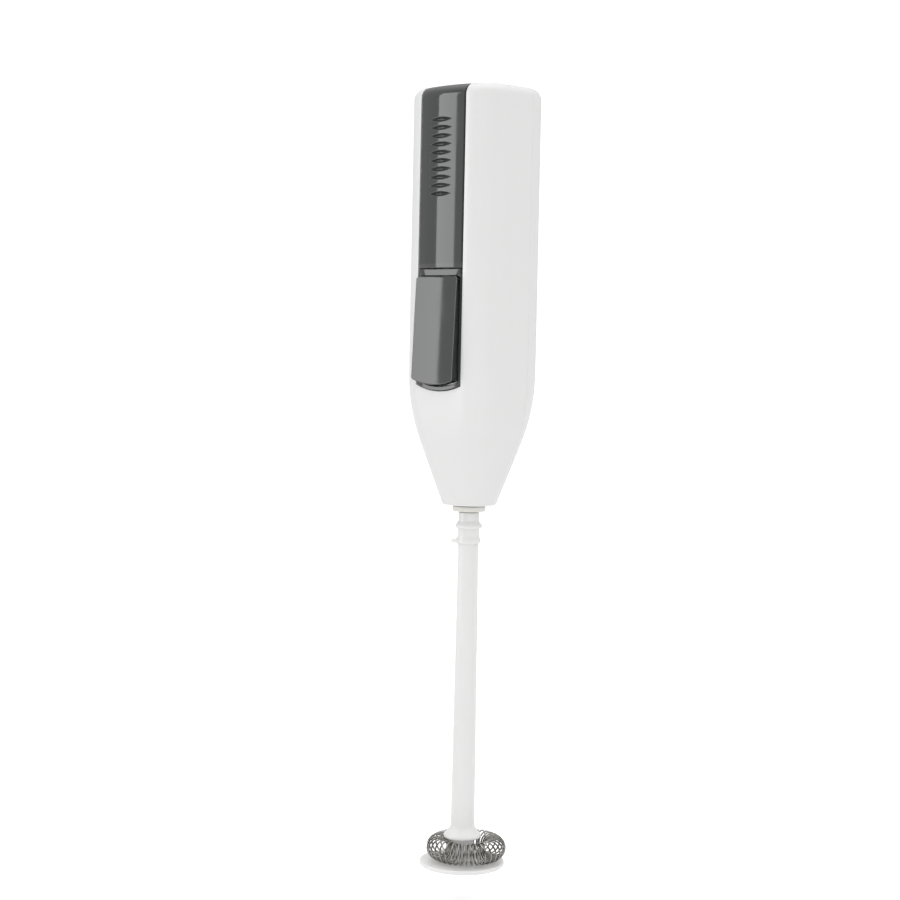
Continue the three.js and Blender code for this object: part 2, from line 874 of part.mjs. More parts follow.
function motorTerminal(side) {
  const centre = side * terminal.x;
  const half = terminal.thickness / 2;
  const { halfWidth, bottom, top } = terminal;
  return box([centre - half, -halfWidth, bottom], [centre + half, halfWidth, top]);
}

// A brush: a springy arm from beside the terminal to the commutator, with its foot bent over.
function motorBrush(side) {
  const { thickness, halfWidth, bottom, top } = brush;
  const armInner = side * (rotor.commutatorRadius + gap + 0.1);
  const armOuter = armInner + side * thickness;
  const footX = side * (terminal.x - terminal.thickness / 2 - gap);
  const span = (a, b) => [Math.min(a, b), Math.max(a, b)];
  const [armLow, armHigh] = span(armInner, armOuter);
  const [footLow, footHigh] = span(armInner, footX);
  const arm = box([armLow, -halfWidth, bottom], [armHigh, halfWidth, top]);
  const foot = box([footLow, -halfWidth, top - thickness], [footHigh, halfWidth, top]);
  return join(arm, foot);
}

function motorMagnet(side) {
  const { magnetInner, magnetOuter, magnetHalfAngle, magnetBottom, magnetTop } = motor;
  const middle = side > 0 ? 0 : Math.PI;
  const shape = new THREE.Shape();
  shape.absarc(0, 0, magnetOuter, middle - magnetHalfAngle, middle + magnetHalfAngle, false);
  shape.absarc(0, 0, magnetInner, middle + magnetHalfAngle, middle - magnetHalfAngle, true);
  return prismAlongZ(shape, magnetBottom, magnetTop, 8);
}

function motorBush(zLow, zHigh) {
  const outer = motor.bushRadius - gap;
  return cut(rod(outer, zLow, zHigh), rod(rotor.shaftRadius + gap, zLow - 1, zHigh + 1));
}

// ---------------------------------------------------------------- rotor

function armatureTooth(index) {
  const { coreRadius, shoeThickness, shoeHalfAngle, toothHalfWidth, coreBottom, coreTop } = rotor;
  const middle = (index * 2 * Math.PI) / 3 + Math.PI / 2;
  const shoe = new THREE.Shape();
  shoe.absarc(0, 0, coreRadius, middle - shoeHalfAngle, middle + shoeHalfAngle, false);
  shoe.absarc(0, 0, coreRadius - shoeThickness, middle + shoeHalfAngle, middle - shoeHalfAngle, true);
  const web = new THREE.BoxGeometry(coreRadius - 0.3, 2 * toothHalfWidth, coreTop - coreBottom);
  web.translate((coreRadius - 0.3) / 2, 0, (coreTop + coreBottom) / 2);
  web.rotateZ(middle);
  return join(prismAlongZ(shoe, coreBottom, coreTop, 6), solidFrom(web));
}

function armatureCore() {
  const { coreHub, coreBottom, coreTop, shaftRadius } = rotor;
  const hub = rod(coreHub, coreBottom, coreTop);
  const teeth = [0, 1, 2].map(armatureTooth);
  return cut(join(hub, ...teeth), rod(shaftRadius + gap, coreBottom - 1, coreTop + 1));
}

// A winding: a rectangular ring of copper around one tooth.
function armatureWinding(index) {
  const { windingInner, windingOuter, windingHalfWidth, windingOverhang } = rotor;
  const { toothHalfWidth, coreBottom, coreTop } = rotor;
  const middle = (index * 2 * Math.PI) / 3 + Math.PI / 2;
  const length = windingOuter - windingInner;
  const outer = new THREE.BoxGeometry(length, 2 * windingHalfWidth, coreTop - coreBottom + 2 * windingOverhang);
  const inner = new THREE.BoxGeometry(length + 1, 2 * (toothHalfWidth + gap), coreTop - coreBottom + 2 * gap);
  for (const block of [outer, inner]) {
    block.translate((windingOuter + windingInner) / 2, 0, (coreTop + coreBottom) / 2);
    block.rotateZ(middle);
  }
  return cut(solidFrom(outer), solidFrom(inner));
}

function commutator() {
  const { commutatorRadius, commutatorBottom, commutatorTop, shaftRadius } = rotor;
  const flangeRadius = commutatorRadius + 0.9;
  const drum = join(
    rod(commutatorRadius, commutatorBottom, commutatorTop),
    rod(flangeRadius, commutatorBottom - 0.6, commutatorBottom),
  );
  return cut(drum, rod(shaftRadius + gap, commutatorBottom - 1, commutatorTop + 1));
}

function driveCoupling() {
  const { collarRadius, collarBottom, collarTop, socketOuter, socketRadius, socketTop } = coupling;
  const { shoulder, shankOuter, top } = coupling;
  const boreRadius = rotor.shaftRadius + gap;
  const outside = turned([
    [0, collarBottom],
    [collarRadius - 0.3, collarBottom],
    [collarRadius, collarBottom + 0.3],
    [collarRadius, collarTop - 0.3],
    [collarRadius - 0.3, collarTop],
    [socketOuter, collarTop],
    [socketOuter, shoulder - 0.5],
    [shankOuter, shoulder + 0.5],
    [shankOuter, top],
    [0, top],
  ]);
  const socket = rod(socketRadius, collarBottom - 1, socketTop);
  const shaftBore = rod(boreRadius, rotor.shaftBottom - gap, top + 1);
  return cut(outside, socket, shaftBore);
}

// ---------------------------------------------------------------- wiring

function wire(points) {
  const curve = new THREE.CatmullRomCurve3(points.map((point) => new THREE.Vector3(...point)));
  const steps = Math.max(6, Math.round(curve.getLength() / (4 * lead.radius)));
  return wireAlong(curve, lead.radius, steps, lead.sides);
}

function negativeLead() {
  return wire([
    [-2.5, -9.4, 144.4],
    [-5.8, -8.6, 144.2],
    [-8.2, -5.0, 143.2],
    [-8.6, -2.0, 141.6],
    [-7.5, 0, 139.6],
  ]);
}

function positiveLead() {
  return wire([
    [2.5, 9.4, 144.4],
    [6.4, 8.4, 144.2],
    [9.2, 3.0, 143.8],
    [8.8, -4.5, 143.8],
    [6.0, -9.0, 144.0],
    [3.3, -10.6, 143.9],
  ]);
}

function switchLead() {
  return wire([
    [3.15, -9.3, 136.6],
    [5.6, -9.2, 137.2],
    [8.4, -6.6, 138.6],
    [8.6, -2.5, 139.6],
    [7.5, 0, 139.2],
  ]);
}

// ---------------------------------------------------------------- whisk

// A ring of the stem: a cone above, a short rim, and a steep underside.
function stemRing(height, radius, lowerBase, upperBase) {
  const { ringSlope, ringUnderside } = stem;
  return [
    [lowerBase, height - ringUnderside],
    [radius - 0.15, height - ringUnderside + 0.1],
    [radius, height - 0.15],
    [radius - 0.05, height + 0.15],
    [upperBase, height + ringSlope],
  ];
}

// The pointed lug on one side of the lower ring.
function stemLug() {
  const { lugReach, lugHalfWidth, lugHalfHeight, lowerRing } = stem;
  const shape = new THREE.Shape();
  shape.moveTo(0, -lugHalfWidth);
  shape.lineTo(lugReach - 1.4, -lugHalfWidth * 0.8);
  shape.lineTo(lugReach, 0);
  shape.lineTo(lugReach - 1.4, lugHalfWidth * 0.8);
  shape.lineTo(0, lugHalfWidth);
  const flat = prismAlongZ(shape, -lugHalfHeight, lugHalfHeight);
  const taper = prismAlongY(
    polygon([[0, -1], [lugReach, -0.12], [lugReach, 0.12], [0, 1]]), -lugHalfWidth, lugHalfWidth,
  );
  const turn = THREE.MathUtils.radToDeg(towardsLug);
  return flat.intersect(taper).rotate([0, 0, turn]).translate([0, 0, lowerRing]);
}

function whiskStem() {
  const { spigotRadius, spigotTop, top, neckRadius, upperRing, upperRingRadius, midRadius } = stem;
  const { lowerRing, lowerRingRadius, waistRadius, waist, footRadius, foot } = stem;
  const { flangeRadius, flangeTop, flangeBottom, hubRadius } = stem;
  const profile = [
    [0, 0],
    [disc.radius - disc.edge, 0],
    [disc.radius, disc.edge],
    [disc.radius, disc.thickness - disc.crown - 0.2],
    [disc.radius - 0.3, disc.thickness - disc.crown],
    [hubRadius + 0.4, disc.thickness],
    [hubRadius, disc.thickness + 0.4],
    [hubRadius, flangeBottom - 0.4],
    [flangeRadius, flangeBottom],
    [flangeRadius, flangeTop - 0.3],
    [footRadius + 0.5, foot - 0.9],
    [footRadius, foot],
    [waistRadius, waist],
    ...stemRing(lowerRing, lowerRingRadius, waistRadius + 0.02, midRadius),
    ...stemRing(upperRing, upperRingRadius, midRadius, neckRadius),
    [neckRadius, top - 0.2],
    [neckRadius - 0.2, top],
    [spigotRadius, top],
    [spigotRadius, spigotTop - 0.5],
    [spigotRadius - 0.5, spigotTop],
    [0, spigotTop],
  ];
  return join(turned(profile, 28), stemLug());
}

function whiskCoil() {
  return wireAlong(new RingHelix(), coil.wireRadius, coil.turns * coil.stepsPerTurn, coil.wireSides);
}

// ---------------------------------------------------------------- assembly

function piece(name, solid, material) {
  const mesh = new THREE.Mesh(geometryFrom(solid), material);
  mesh.name = name;
  return mesh;
}

function group(...children) {
  const holder = new THREE.Group();
  holder.add(...children);
  return holder;
}

const shells = group(
  piece('front_shell', frontShell(), materials.whitePlastic),
  piece('rear_cover', rearCover(), materials.whitePlastic),
  piece('battery_cover', batteryCover(), materials.greyPlastic),
  piece('button_frame', buttonFrame(), materials.greyPlastic),
  piece('power_button', powerButton(), materials.greyPlastic),
);

const batteryBay = group(
  piece('battery_tray', batteryTray(), materials.whitePlastic),
  piece('battery_cell_front', frontCell(), materials.cellJacket),
  piece('battery_cell_rear', rearCell(), materials.cellJacket),
  piece('battery_link_contact', linkContact(), materials.nickel),
  piece('battery_negative_spring', negativeSpring(), materials.nickel),
  piece('battery_positive_contact', positiveContact(), materials.nickel),
);

const switchGroup = group(
  piece('switch_carrier', switchCarrier(), materials.phenolic),
  piece('switch_leaf', switchLeaf(), materials.brass),
  piece('switch_fixed_contact', switchFixedContact(), materials.brass),
);

const motorGroup = group(
  piece('motor_can', motorCan(), materials.zincSteel),
  piece('motor_end_cap', motorEndCap(), materials.whitePlastic),
  piece('motor_magnet_right', motorMagnet(1), materials.magnet),
  piece('motor_magnet_left', motorMagnet(-1), materials.magnet),
  piece('motor_front_bush', motorBush(motor.front - 1.1, motor.front + 1.1), materials.brass),
  piece('motor_rear_bush', motorBush(motor.canRear + gap, motor.capRear + 0.2), materials.brass),
  piece('motor_brush_right', motorBrush(1), materials.copper),
  piece('motor_brush_left', motorBrush(-1), materials.copper),
  piece('motor_terminal_right', motorTerminal(1), materials.brass),
  piece('motor_terminal_left', motorTerminal(-1), materials.brass),
);

const wiring = group(
  piece('negative_lead', negativeLead(), materials.blackInsulation),
  piece('positive_lead', positiveLead(), materials.redInsulation),
  piece('switch_lead', switchLead(), materials.redInsulation),
);

const windings = [0, 1, 2].map((index) => (
  piece(`armature_winding_${index + 1}`, armatureWinding(index), materials.copper)
));

const rotorGroup = group(
  piece('motor_shaft', rod(rotor.shaftRadius, rotor.shaftBottom, rotor.shaftTop), materials.steel),
  piece('armature_core', armatureCore(), materials.lamination),
  ...windings,
  piece('commutator', commutator(), materials.copper),
  piece('drive_coupling', driveCoupling(), materials.nylon),
);

const whisk = group(
  piece('whisk_stem', whiskStem(), materials.stemPlastic),
  piece('whisk_coil', whiskCoil(), materials.steel),
);

const frother = group(shells, batteryBay, switchGroup, motorGroup, wiring, rotorGroup, whisk);

export default frother;
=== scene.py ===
"""A hand-held milk frother: its moulded shells, cover, button, whisk and finishes, built round a
fixed frame. Lengths are in metres, +Z runs up the spindle and -Y is the side with the button."""

import json
import math

import bpy
import numpy as np
from bpy.props import FloatProperty, FloatVectorProperty, IntProperty, PointerProperty
from mathutils import Matrix, Vector


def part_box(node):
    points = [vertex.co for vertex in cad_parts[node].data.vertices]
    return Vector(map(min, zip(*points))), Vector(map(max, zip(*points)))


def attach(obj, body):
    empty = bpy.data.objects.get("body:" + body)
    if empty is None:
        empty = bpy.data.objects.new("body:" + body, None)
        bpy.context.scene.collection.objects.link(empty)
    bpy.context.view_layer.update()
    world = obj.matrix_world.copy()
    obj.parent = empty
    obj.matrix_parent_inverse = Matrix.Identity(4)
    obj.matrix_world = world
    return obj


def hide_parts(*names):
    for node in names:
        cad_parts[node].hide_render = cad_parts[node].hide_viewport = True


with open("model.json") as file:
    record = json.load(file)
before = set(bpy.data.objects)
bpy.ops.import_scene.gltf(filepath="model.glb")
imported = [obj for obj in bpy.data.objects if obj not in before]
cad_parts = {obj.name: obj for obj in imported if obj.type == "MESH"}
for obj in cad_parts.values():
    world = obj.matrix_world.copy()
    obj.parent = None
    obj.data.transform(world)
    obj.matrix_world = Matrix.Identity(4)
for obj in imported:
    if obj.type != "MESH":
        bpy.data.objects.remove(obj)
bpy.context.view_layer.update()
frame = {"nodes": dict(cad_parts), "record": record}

bl_info = {
    "name": "Milk frother builder",
    "version": (1, 0, 0),
    "blender": (4, 5, 0),
    "location": "View3D > Sidebar > Frother",
    "description": "Builds a hand-held milk frother round its frame, piece by piece",
    "category": "Add Mesh",
}

MM = 0.001
FULL_TURN = 2 * math.pi


# ---------------------------------------------------------------- settings

def length(name, millimetres, description):
    """A length setting whose default is given in millimetres."""
    return FloatProperty(
        name=name, description=description, default=millimetres * MM, unit="LENGTH", precision=5
    )


def colour(name, value, description):
    """A linear RGBA colour setting."""
    return FloatVectorProperty(
        name=name, description=description, default=value, size=4, min=0.0, max=1.0, subtype="COLOR"
    )


def share(name, value, description):
    """A plain setting between 0 and 1."""
    return FloatProperty(name=name, description=description, default=value, min=0.0, max=1.0)


shell_low, shell_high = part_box("front_shell")
cover_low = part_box("battery_cover")[0]
frame_low, frame_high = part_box("button_frame")
button_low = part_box("power_button")[0]
stem_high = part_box("whisk_stem")[1]

# How much closer the finished button frame fits its slot than the plain one, in millimetres.
SIDE_FIT = 0.2
END_FIT = 0.15


class HandleSettings(bpy.types.PropertyGroup):
    """Sizes of the two handle shells."""

    width: length("Width", (shell_high.x - shell_low.x) / MM, "Across the handle, side to side")
    depth: length("Depth", 24.0, "Across the handle, front to back")
    top: length("Top", shell_high.z / MM, "Height of the middle of the top")
    nose_end: length("Nose end", shell_low.z / MM, "Height of the round nose's lower face")
    nose_radius: length("Nose radius", 6.75, "Radius of the round nose")
    nose_bore: length("Nose bore", 3.4, "Radius of the hole for the drive coupling")
    nose_edge: length("Nose edge", 0.35, "Rounding of the nose's rim")
    corner_radius: length("Corner radius", 7.1, "Rounding of the body's upright corners")
    wall: length("Wall", 1.6, "Wall thickness")
    top_fillet: length("Top fillet", 3.0, "Rounding between the sides and the top")
    crown: length("Crown", 0.6, "Rise of the top's middle over its edge")
    shoulder: length("Shoulder", 117.1, "Height at which the nose's cone meets the body")
    shoulder_blend: length("Shoulder blend", 9.0, "Half the height of the blend at the shoulder")
    front_seam: length("Front seam", 4.84, "The front shell's edge, behind the middle")
    rear_seam: length("Rear seam", 4.86, "The rear cover's edge, behind the middle")
    slot_half_width: length("Slot half width", 8.05, "Half the width of the slot for the strip")
    slot_bottom: length("Slot bottom", 121.7, "Lowest point of the slot")
    slot_sag: length("Slot sag", 1.5, "Depth of the arc at the slot's lower end")
    slot_back: length("Slot back", -9.8, "How far back the slot reaches over the top")
    edge_round: length("Edge rounding", 0.03, "Rounding of the shells' cut edges")
    nose_floor: length("Nose floor", 1.8, "Thickness of the nose's lower wall")
    notch_clearance: length("Notch clearance", 0.3, "Room round the rails in the top's notches")
    notch_depth: length("Notch depth", 8.0, "How far down the notches are cut")
    notch_rise: length("Notch rise", 2.0, "How far over the top the notches' cutters stand")


class StripSettings(bpy.types.PropertyGroup):
    """Sizes of the battery cover and the button frame."""

    half_width: length("Half width", frame_high.x / MM, "Half the strip's width")
    proud: length("Proud", 0.8, "How far the strip's middle stands out of the shell")
    cover_bottom: length("Cover bottom", cover_low.z / MM, "Height of the cover's lower edge")
    lip_back: length("Lip back", -10.1, "How far back the cover wraps over the top")
    thickness: length("Thickness", 2.2, "Thickness in the middle of the cover")
    edge: length("Edge", 0.3, "Rounding of the long edges")
    groove_first: length("First groove", 171.1, "Height of the lowest thumb groove")
    groove_pitch: length("Groove pitch", 2.06, "Distance from groove to groove")
    groove_half_length: length("Groove half length", 3.9, "Half the length of a groove")
    groove_half_height: length("Groove half height", 0.62, "Half the height of a groove's middle")
    groove_depth: length("Groove depth", 0.95, "Depth of a groove")
    groove_count: IntProperty(name="Grooves", description="Number of thumb grooves", default=10)
    rail_inner: length("Rail inner", 7.0, "The rails' inner side")
    rail_outer: length("Rail outer", 8.8, "The rails' outer side")
    rail_front: length("Rail front", -9.95, "The rails' front side")
    rail_back: length("Rail back", -8.95, "The rails' back side")
    rail_bottom: length("Rail bottom", 155.0, "The rails' lower end")
    rail_top: length("Rail top", 190.0, "The rails' upper end")
    web_inset: length("Web inset", 0.05, "How far the rails' webs stay inside the cover's sides")
    web_front: length("Web front", -11.0, "Front side of the rails' webs")
    frame_half_width: length(
        "Frame half width", frame_high.x / MM + SIDE_FIT, "Half the frame's width"
    )
    frame_top: length("Frame top", 152.35, "Height of the frame's upper edge")
    frame_bottom: length("Frame bottom", frame_low.z / MM - END_FIT, "Lowest point of the frame")
    frame_front: length("Frame front", -12.35, "Front face of the frame in its middle")
    frame_side_front: length("Frame side front", -11.9, "Front face of the frame at its sides")
    flat_half_width: length("Flat half width", 5.8, "Half the flat middle of the frame's face")
    frame_back: length("Frame back", -10.5, "Back face of the frame's ring")
    window_half_width: length("Window half width", 7.15, "Half the width of the frame's window")
    window_top: length("Window top", 150.68, "Upper edge of the window")
    window_bottom: length("Window bottom", 122.9, "Lowest point of the window")
    ear_inner: length("Ear inner", 6.5, "Inner side of the two hinge ears")
    ear_back: length("Ear back", frame_high.y / MM, "Back of the two hinge ears")
    ear_half_height: length("Ear half height", 1.4, "Half the height of an ear")
    ear_bore: length("Ear bore", 0.85, "Radius of the ears' bores")
    ear_front: length("Ear front", -11.65, "Front of the two hinge ears")
    ear_inset: length("Ear inset", 0.1, "How far the ears stay inside the strip's sides")


class ButtonSettings(bpy.types.PropertyGroup):
    """Sizes of the rocking power button."""

    half_width: length("Half width", 6.95, "Half the button's width")
    top: length("Top", 150.5, "Height of the button's upper edge")
    bottom: length("Bottom", button_low.z / MM, "Lowest point of the button")
    sag: length("Sag", 1.3, "Depth of the arc at the lower end")
    corner: length("Corner", 0.85, "Rounding of the outline's corners")
    edge: length("Edge", 0.32, "Rounding of the face's edge")
    dish: length("Dish", 0.3, "Depth of the hollow along the face")
    flare: length("Flare", 0.6, "How much wider the face is than the walls behind it")
    flare_depth: length("Flare depth", 0.7, "How far behind the face the flare ends")
    top_face: length("Top face", -13.2, "The face at its upper end")
    bottom_face: length("Bottom face", -14.45, "The face at its lower end")
    rim_back: length("Rim back", -11.7, "Back edge of the side walls")
    relief_back: length("Relief back", -12.0, "Back edge of the walls near the hinge")
    relief_bottom: length("Relief bottom", 146.4, "Where the walls near the hinge step back")
    wall: length("Wall", 0.8, "Thickness of the walls")
    hinge_y: length("Hinge depth", -10.4, "Place of the hinge axis, front to back")
    hinge_z: length("Hinge height", 148.6, "Height of the hinge axis")
    pin_radius: length("Pin radius", 0.6, "Radius of the hinge pins")
    barrel_radius: length("Barrel radius", 1.1, "Radius of the hinge barrels")
    barrel_inner: length("Barrel inner", 3.6, "Inner end of a barrel")
    barrel_outer: length("Barrel outer", 6.2, "Outer end of a barrel")
    nub_height: length("Nub height", 130.0, "Height of the nub that presses the contact")
    nub_radius: length("Nub radius", 1.6, "Radius of the nub")
    nub_back: length("Nub back", -11.25, "Back end of the nub")
    nub_reach: length("Nub reach", 1.7, "Length of the nub")
    nub_bevel: length("Nub bevel", 0.3, "Bevel of the nub's end")
    pin_end: length("Pin end", 7.65, "Outer end of a hinge pin")
    pin_rounding: length("Pin rounding", 0.12, "Rounding of the barrels' and the pins' ends")
    neck_inset: length("Neck inset", 0.1, "How far a neck's ends stay inside its barrel's")
    neck_front: length("Neck front", -12.4, "Front of the necks that carry the barrels")
    neck_half_height: length("Neck half height", 0.8, "Half the height of a neck")
    relief_blend: length("Relief blend", 0.6, "Height over which the walls step back")


class WhiskSettings(bpy.types.PropertyGroup):
    """Sizes of the drive coupling, the stem, the disc and the coil."""

    collar_radius: length("Collar radius", 4.25, "Radius of the coupling's collar")
    socket_outer: length("Socket outer", 2.95, "Outer radius of the coupling's socket")
    socket_radius: length("Socket radius", 1.95, "Inner radius of the coupling's socket")
    shank_outer: length("Shank outer", 2.4, "Outer radius of the coupling's shank")
    shaft_bore: length("Shaft bore", 1.3, "Radius of the bore round the motor shaft")
    collar_height: length("Collar height", 1.3, "Height of the coupling's collar")
    socket_top: length("Socket top", 99.2, "Height of the socket's closed end")
    socket_bevel: length("Socket bevel", 0.2, "Bevel of the socket's closed end")
    shaft_low: length("Shaft bore's end", 100.2, "Height of the shaft bore's closed end")
    step_middle: length("Step", 100.6, "Height of the cone from the socket to the shank")
    step_half_height: length("Step half height", 0.5, "Half the height of that cone")
    coupling_rounding: length("Coupling rounding", 0.25, "Rounding of the coupling's outline")
    coupling_edge: length("Coupling edge", 0.05, "Rounding of the coupling's sharp edges")
    spigot_radius: length("Spigot radius", 1.6, "Radius of the stem's spigot")
    stem_top: length("Stem top", 90.7, "Height of the stem's shoulder")
    upper_ring: length("Upper ring", 87.2, "Height of the upper ring")
    upper_ring_radius: length("Upper ring radius", 3.48, "Radius of the upper ring")
    lower_ring: length("Lower ring", 83.3, "Height of the lower ring")
    lower_ring_radius: length("Lower ring radius", 3.2, "Radius of the lower ring")
    ring_slope: length("Ring slope", 1.2, "Height of the cone over a ring")
    lug_reach: length("Lug reach", 4.6, "How far the pointed lug reaches out")
    neck_radius: length("Neck radius", 2.7, "Radius above the upper ring")
    mid_radius: length("Middle radius", 2.8, "Radius between the rings")
    waist_radius: length("Waist radius", 2.62, "Radius below the lower ring")
    foot_radius: length("Foot radius", 3.08, "Radius just above the hub")
    flange_radius: length("Flange radius", 4.85, "Radius of the hub's flange")
    hub_radius: length("Hub radius", 2.9, "Radius of the hub inside the coil")
    disc_radius: length("Disc radius", stem_high.x / MM, "Radius of the disc")
    disc_thickness: length("Disc thickness", 1.4, "Thickness of the disc at its middle")
    coil_ring_radius: length("Coil ring radius", 7.4, "Radius of the ring that the coil follows")
    coil_height: length("Coil height", 4.4, "Height of the ring's middle")
    loop_radius: length("Loop radius", 2.63, "Radius of one turn of the coil")
    wire_radius: length("Wire radius", 0.22, "Radius of the wire")
    turns: IntProperty(name="Turns", description="Number of turns of the coil", default=35)
    opening: FloatProperty(
        name="Opening", description="Gap between the coil's ends", default=0.12, unit="ROTATION"
    )
    coil_offset: length("Coil offset", 1.0, "How far the ring sits off the axis")
    lug_angle: FloatProperty(
        name="Lug angle", description="Where the lug and the coil's ends are, round the axis",
        default=-0.75 * math.pi, unit="ROTATION",
    )


class FinishSettings(bpy.types.PropertyGroup):
    """Colours of the object's finishes."""

    white_shell: colour("White shell", (0.71, 0.71, 0.708, 1), "Satin white moulded plastic")
    grey_trim: colour("Grey trim", (0.043, 0.0445, 0.0455, 1), "Glossy dark grey moulded plastic")
    stem_plastic: colour("Stem plastic", (0.725, 0.725, 0.72, 1), "Translucent white plastic")
    nylon: colour("Nylon", (0.70, 0.685, 0.64, 1), "Off-white nylon")
    wire_steel: colour("Wire steel", (0.32, 0.31, 0.29, 1), "Bright stainless wire")


class StageSettings(bpy.types.PropertyGroup):
    """The floor, the lights and the camera."""

    distance: length("Camera distance", 480.0, "From the spindle to the camera, along the floor")
    height: length("Camera height", 137.0, "Height of the camera over the floor")
    azimuth: FloatProperty(
        name="Camera azimuth", description="Round the spindle from the front",
        default=math.radians(45), unit="ROTATION",
    )
    aim_height: length("Aim height", 121.9, "Height of the point in the middle of the view")
    aim_aside: length("Aim aside", 5.49, "How far to the spindle's left that point is")
    roll: FloatProperty(
        name="Camera roll", description="Lean of the view", default=math.radians(1.17),
        unit="ROTATION",
    )
    lens: FloatProperty(name="Lens", description="Focal length, millimetres", default=75.25)
    lens_drop: FloatProperty(
        name="Lens drop", description="Shift of the view, as a share of its height", default=-0.067
    )
    floor_tone: share("Floor tone", 0.93, "Paleness of the floor")
    floor_glow: share("Floor glow", 0.28, "How much the floor is lit from below, as a light table")
    floor_drop: length("Floor drop", 9.4, "Room under the disc, in which the stem can be pulled out")
    room_light: FloatProperty(name="Room light", description="Even soft light", default=0.74)
    near_light: FloatProperty(
        name="Near light", description="Soft light from the near side", default=1.13
    )
    top_light: FloatProperty(name="Top light", description="Soft light from above", default=1.7)
    near_azimuth: FloatProperty(
        name="Near azimuth", description="Where the near side's light is, round the spindle",
        default=math.radians(28), unit="ROTATION",
    )
    dark_light: FloatProperty(
        name="Dim end", description="Light of the room's dim end, as reflections show it", default=0.06
    )
    dark_from: share("Dim from", 0.42, "Where the dim end starts, as a cosine")
    dark_to: share("Dim to", 0.55, "Where the dim end is fully dim, as a cosine")
    panel_light: FloatProperty(name="Panel light", description="Soft panel's brightness", default=3.7)
    panel_azimuth: FloatProperty(
        name="Panel azimuth", description="Round the spindle from the front",
        default=math.radians(-38.2), unit="ROTATION",
    )


# ---------------------------------------------------------------- meshes from arrays

MERGE_DISTANCE = 0.0005 * MM
SURFACE_MERGE_DISTANCE = 0.002 * MM
# The least length that a division uses.
TINY = 1e-9
SMALL_SIDES = 24
LARGE_SIDES = 96
STEM_SIDES = 144


def grid_faces(rows, columns, wrap_columns=False, wrap_rows=False):
    """Quads between neighbouring points of a grid stored row by row; a wrapped direction joins its
    last line to its first."""
    row = np.arange(rows if wrap_rows else rows - 1)[:, None]
    column = np.arange(columns if wrap_columns else columns - 1)[None, :]
    next_row = (row + 1) % rows
    next_column = (column + 1) % columns
    corners = [
        row * columns + column,
        row * columns + next_column,
        next_row * columns + next_column,
        next_row * columns + column,
    ]
    return np.stack(corners, axis=-1).reshape(-1, 4)


def merge_patches(patches):
    """One point array and one face array from several (points, faces) pairs."""
    points = []
    faces = []
    start = 0
    for patch_points, patch_faces in patches:
        points.append(patch_points.reshape(-1, patch_points.shape[-1]))
        faces.append(patch_faces + start)
        start += len(points[-1])
    return np.concatenate(points), np.concatenate(faces)


def open_edges(faces):
    """The directed edges that belong to one face only."""
    edges = np.concatenate([np.stack([faces[:, i], faces[:, (i + 1) % 4]], 1) for i in range(4)])
    edges = edges[edges[:, 0] != edges[:, 1]]
    size = int(edges.max()) + 1
    forward = edges[:, 0] * size + edges[:, 1]
    backward = edges[:, 1] * size + edges[:, 0]
    return edges[~np.isin(forward, backward)]


def thicken(outer, inner, faces):
    """A closed wall from an open surface and its inner twin: the faces, the same faces turned over
    on the inner points, and a strip of quads along each open edge. Points that coincide on the
    outer surface are one point."""
    keys = np.round(outer / SURFACE_MERGE_DISTANCE).astype(np.int64)
    _, first, index = np.unique(keys, axis=0, return_index=True, return_inverse=True)
    index = index.reshape(-1)
    outer = outer[first]
    inner = inner[first]
    faces = index[faces]
    count = len(outer)
    edges = open_edges(faces)
    rim = np.stack([edges[:, 1], edges[:, 0], edges[:, 0] + count, edges[:, 1] + count], 1)
    turned_over = faces[:, ::-1] + count
    return np.concatenate([outer, inner]), np.concatenate([faces, turned_over, rim])


def mesh_object(name, points, faces):
    """A mesh object from a point array and quads, with coinciding points merged, so that its seams
    and poles are closed, and shaded smooth."""
    keys = np.round(points / MERGE_DISTANCE).astype(np.int64)
    _, first, index = np.unique(keys, axis=0, return_index=True, return_inverse=True)
    faces = index.reshape(-1)[faces]
    points = points[first]
    distinct = faces != np.roll(faces, 1, axis=1)
    sides = distinct.sum(1)
    polygons = [face[keep].tolist() for face, keep in zip(faces[sides > 2], distinct[sides > 2])]
    mesh = bpy.data.meshes.new(name)
    mesh.from_pydata(points.tolist(), [], polygons)
    mesh.validate()
    mesh.polygons.foreach_set("use_smooth", np.ones(len(mesh.polygons), dtype=bool))
    mesh.update()
    piece = bpy.data.objects.new(name, mesh)
    bpy.context.scene.collection.objects.link(piece)
    return piece


def even_shading(piece, weight=50):
    """Evens the shading beside the sharp edges, by the size of the faces."""
    even = piece.modifiers.new("Even shading", "WEIGHTED_NORMAL")
    even.keep_sharp = True
    even.weight = weight


def soften(piece, width):
    """Rounds the sharp edges and evens the shading beside them."""
    bevel = piece.modifiers.new("Rounded edges", "BEVEL")
    bevel.width = width
    bevel.segments = 2
    bevel.limit_method = "ANGLE"
    bevel.angle_limit = math.radians(45)
    bevel.miter_outer = "MITER_SHARP"
    even_shading(piece, weight=80)


def settle(piece):
    """Applies the piece's modifiers to its mesh."""
    bpy.context.view_layer.update()
    evaluated = piece.evaluated_get(bpy.context.evaluated_depsgraph_get())
    mesh = bpy.data.meshes.new_from_object(evaluated)
    piece.modifiers.clear()
    old = piece.data
    piece.data = mesh
    bpy.data.meshes.remove(old)


def cut_away(piece, cutters):
    """Takes closed cutters, given as (points, faces), out of the piece."""
    points, faces = merge_patches(cutters)
    cutter = mesh_object("cutter", points, faces)
    boolean = piece.modifiers.new("Cut", "BOOLEAN")
    boolean.operation = "DIFFERENCE"
    boolean.solver = "MANIFOLD"
    boolean.object = cutter
    settle(piece)
    mesh = cutter.data
    bpy.data.objects.remove(cutter)
    bpy.data.meshes.remove(mesh)


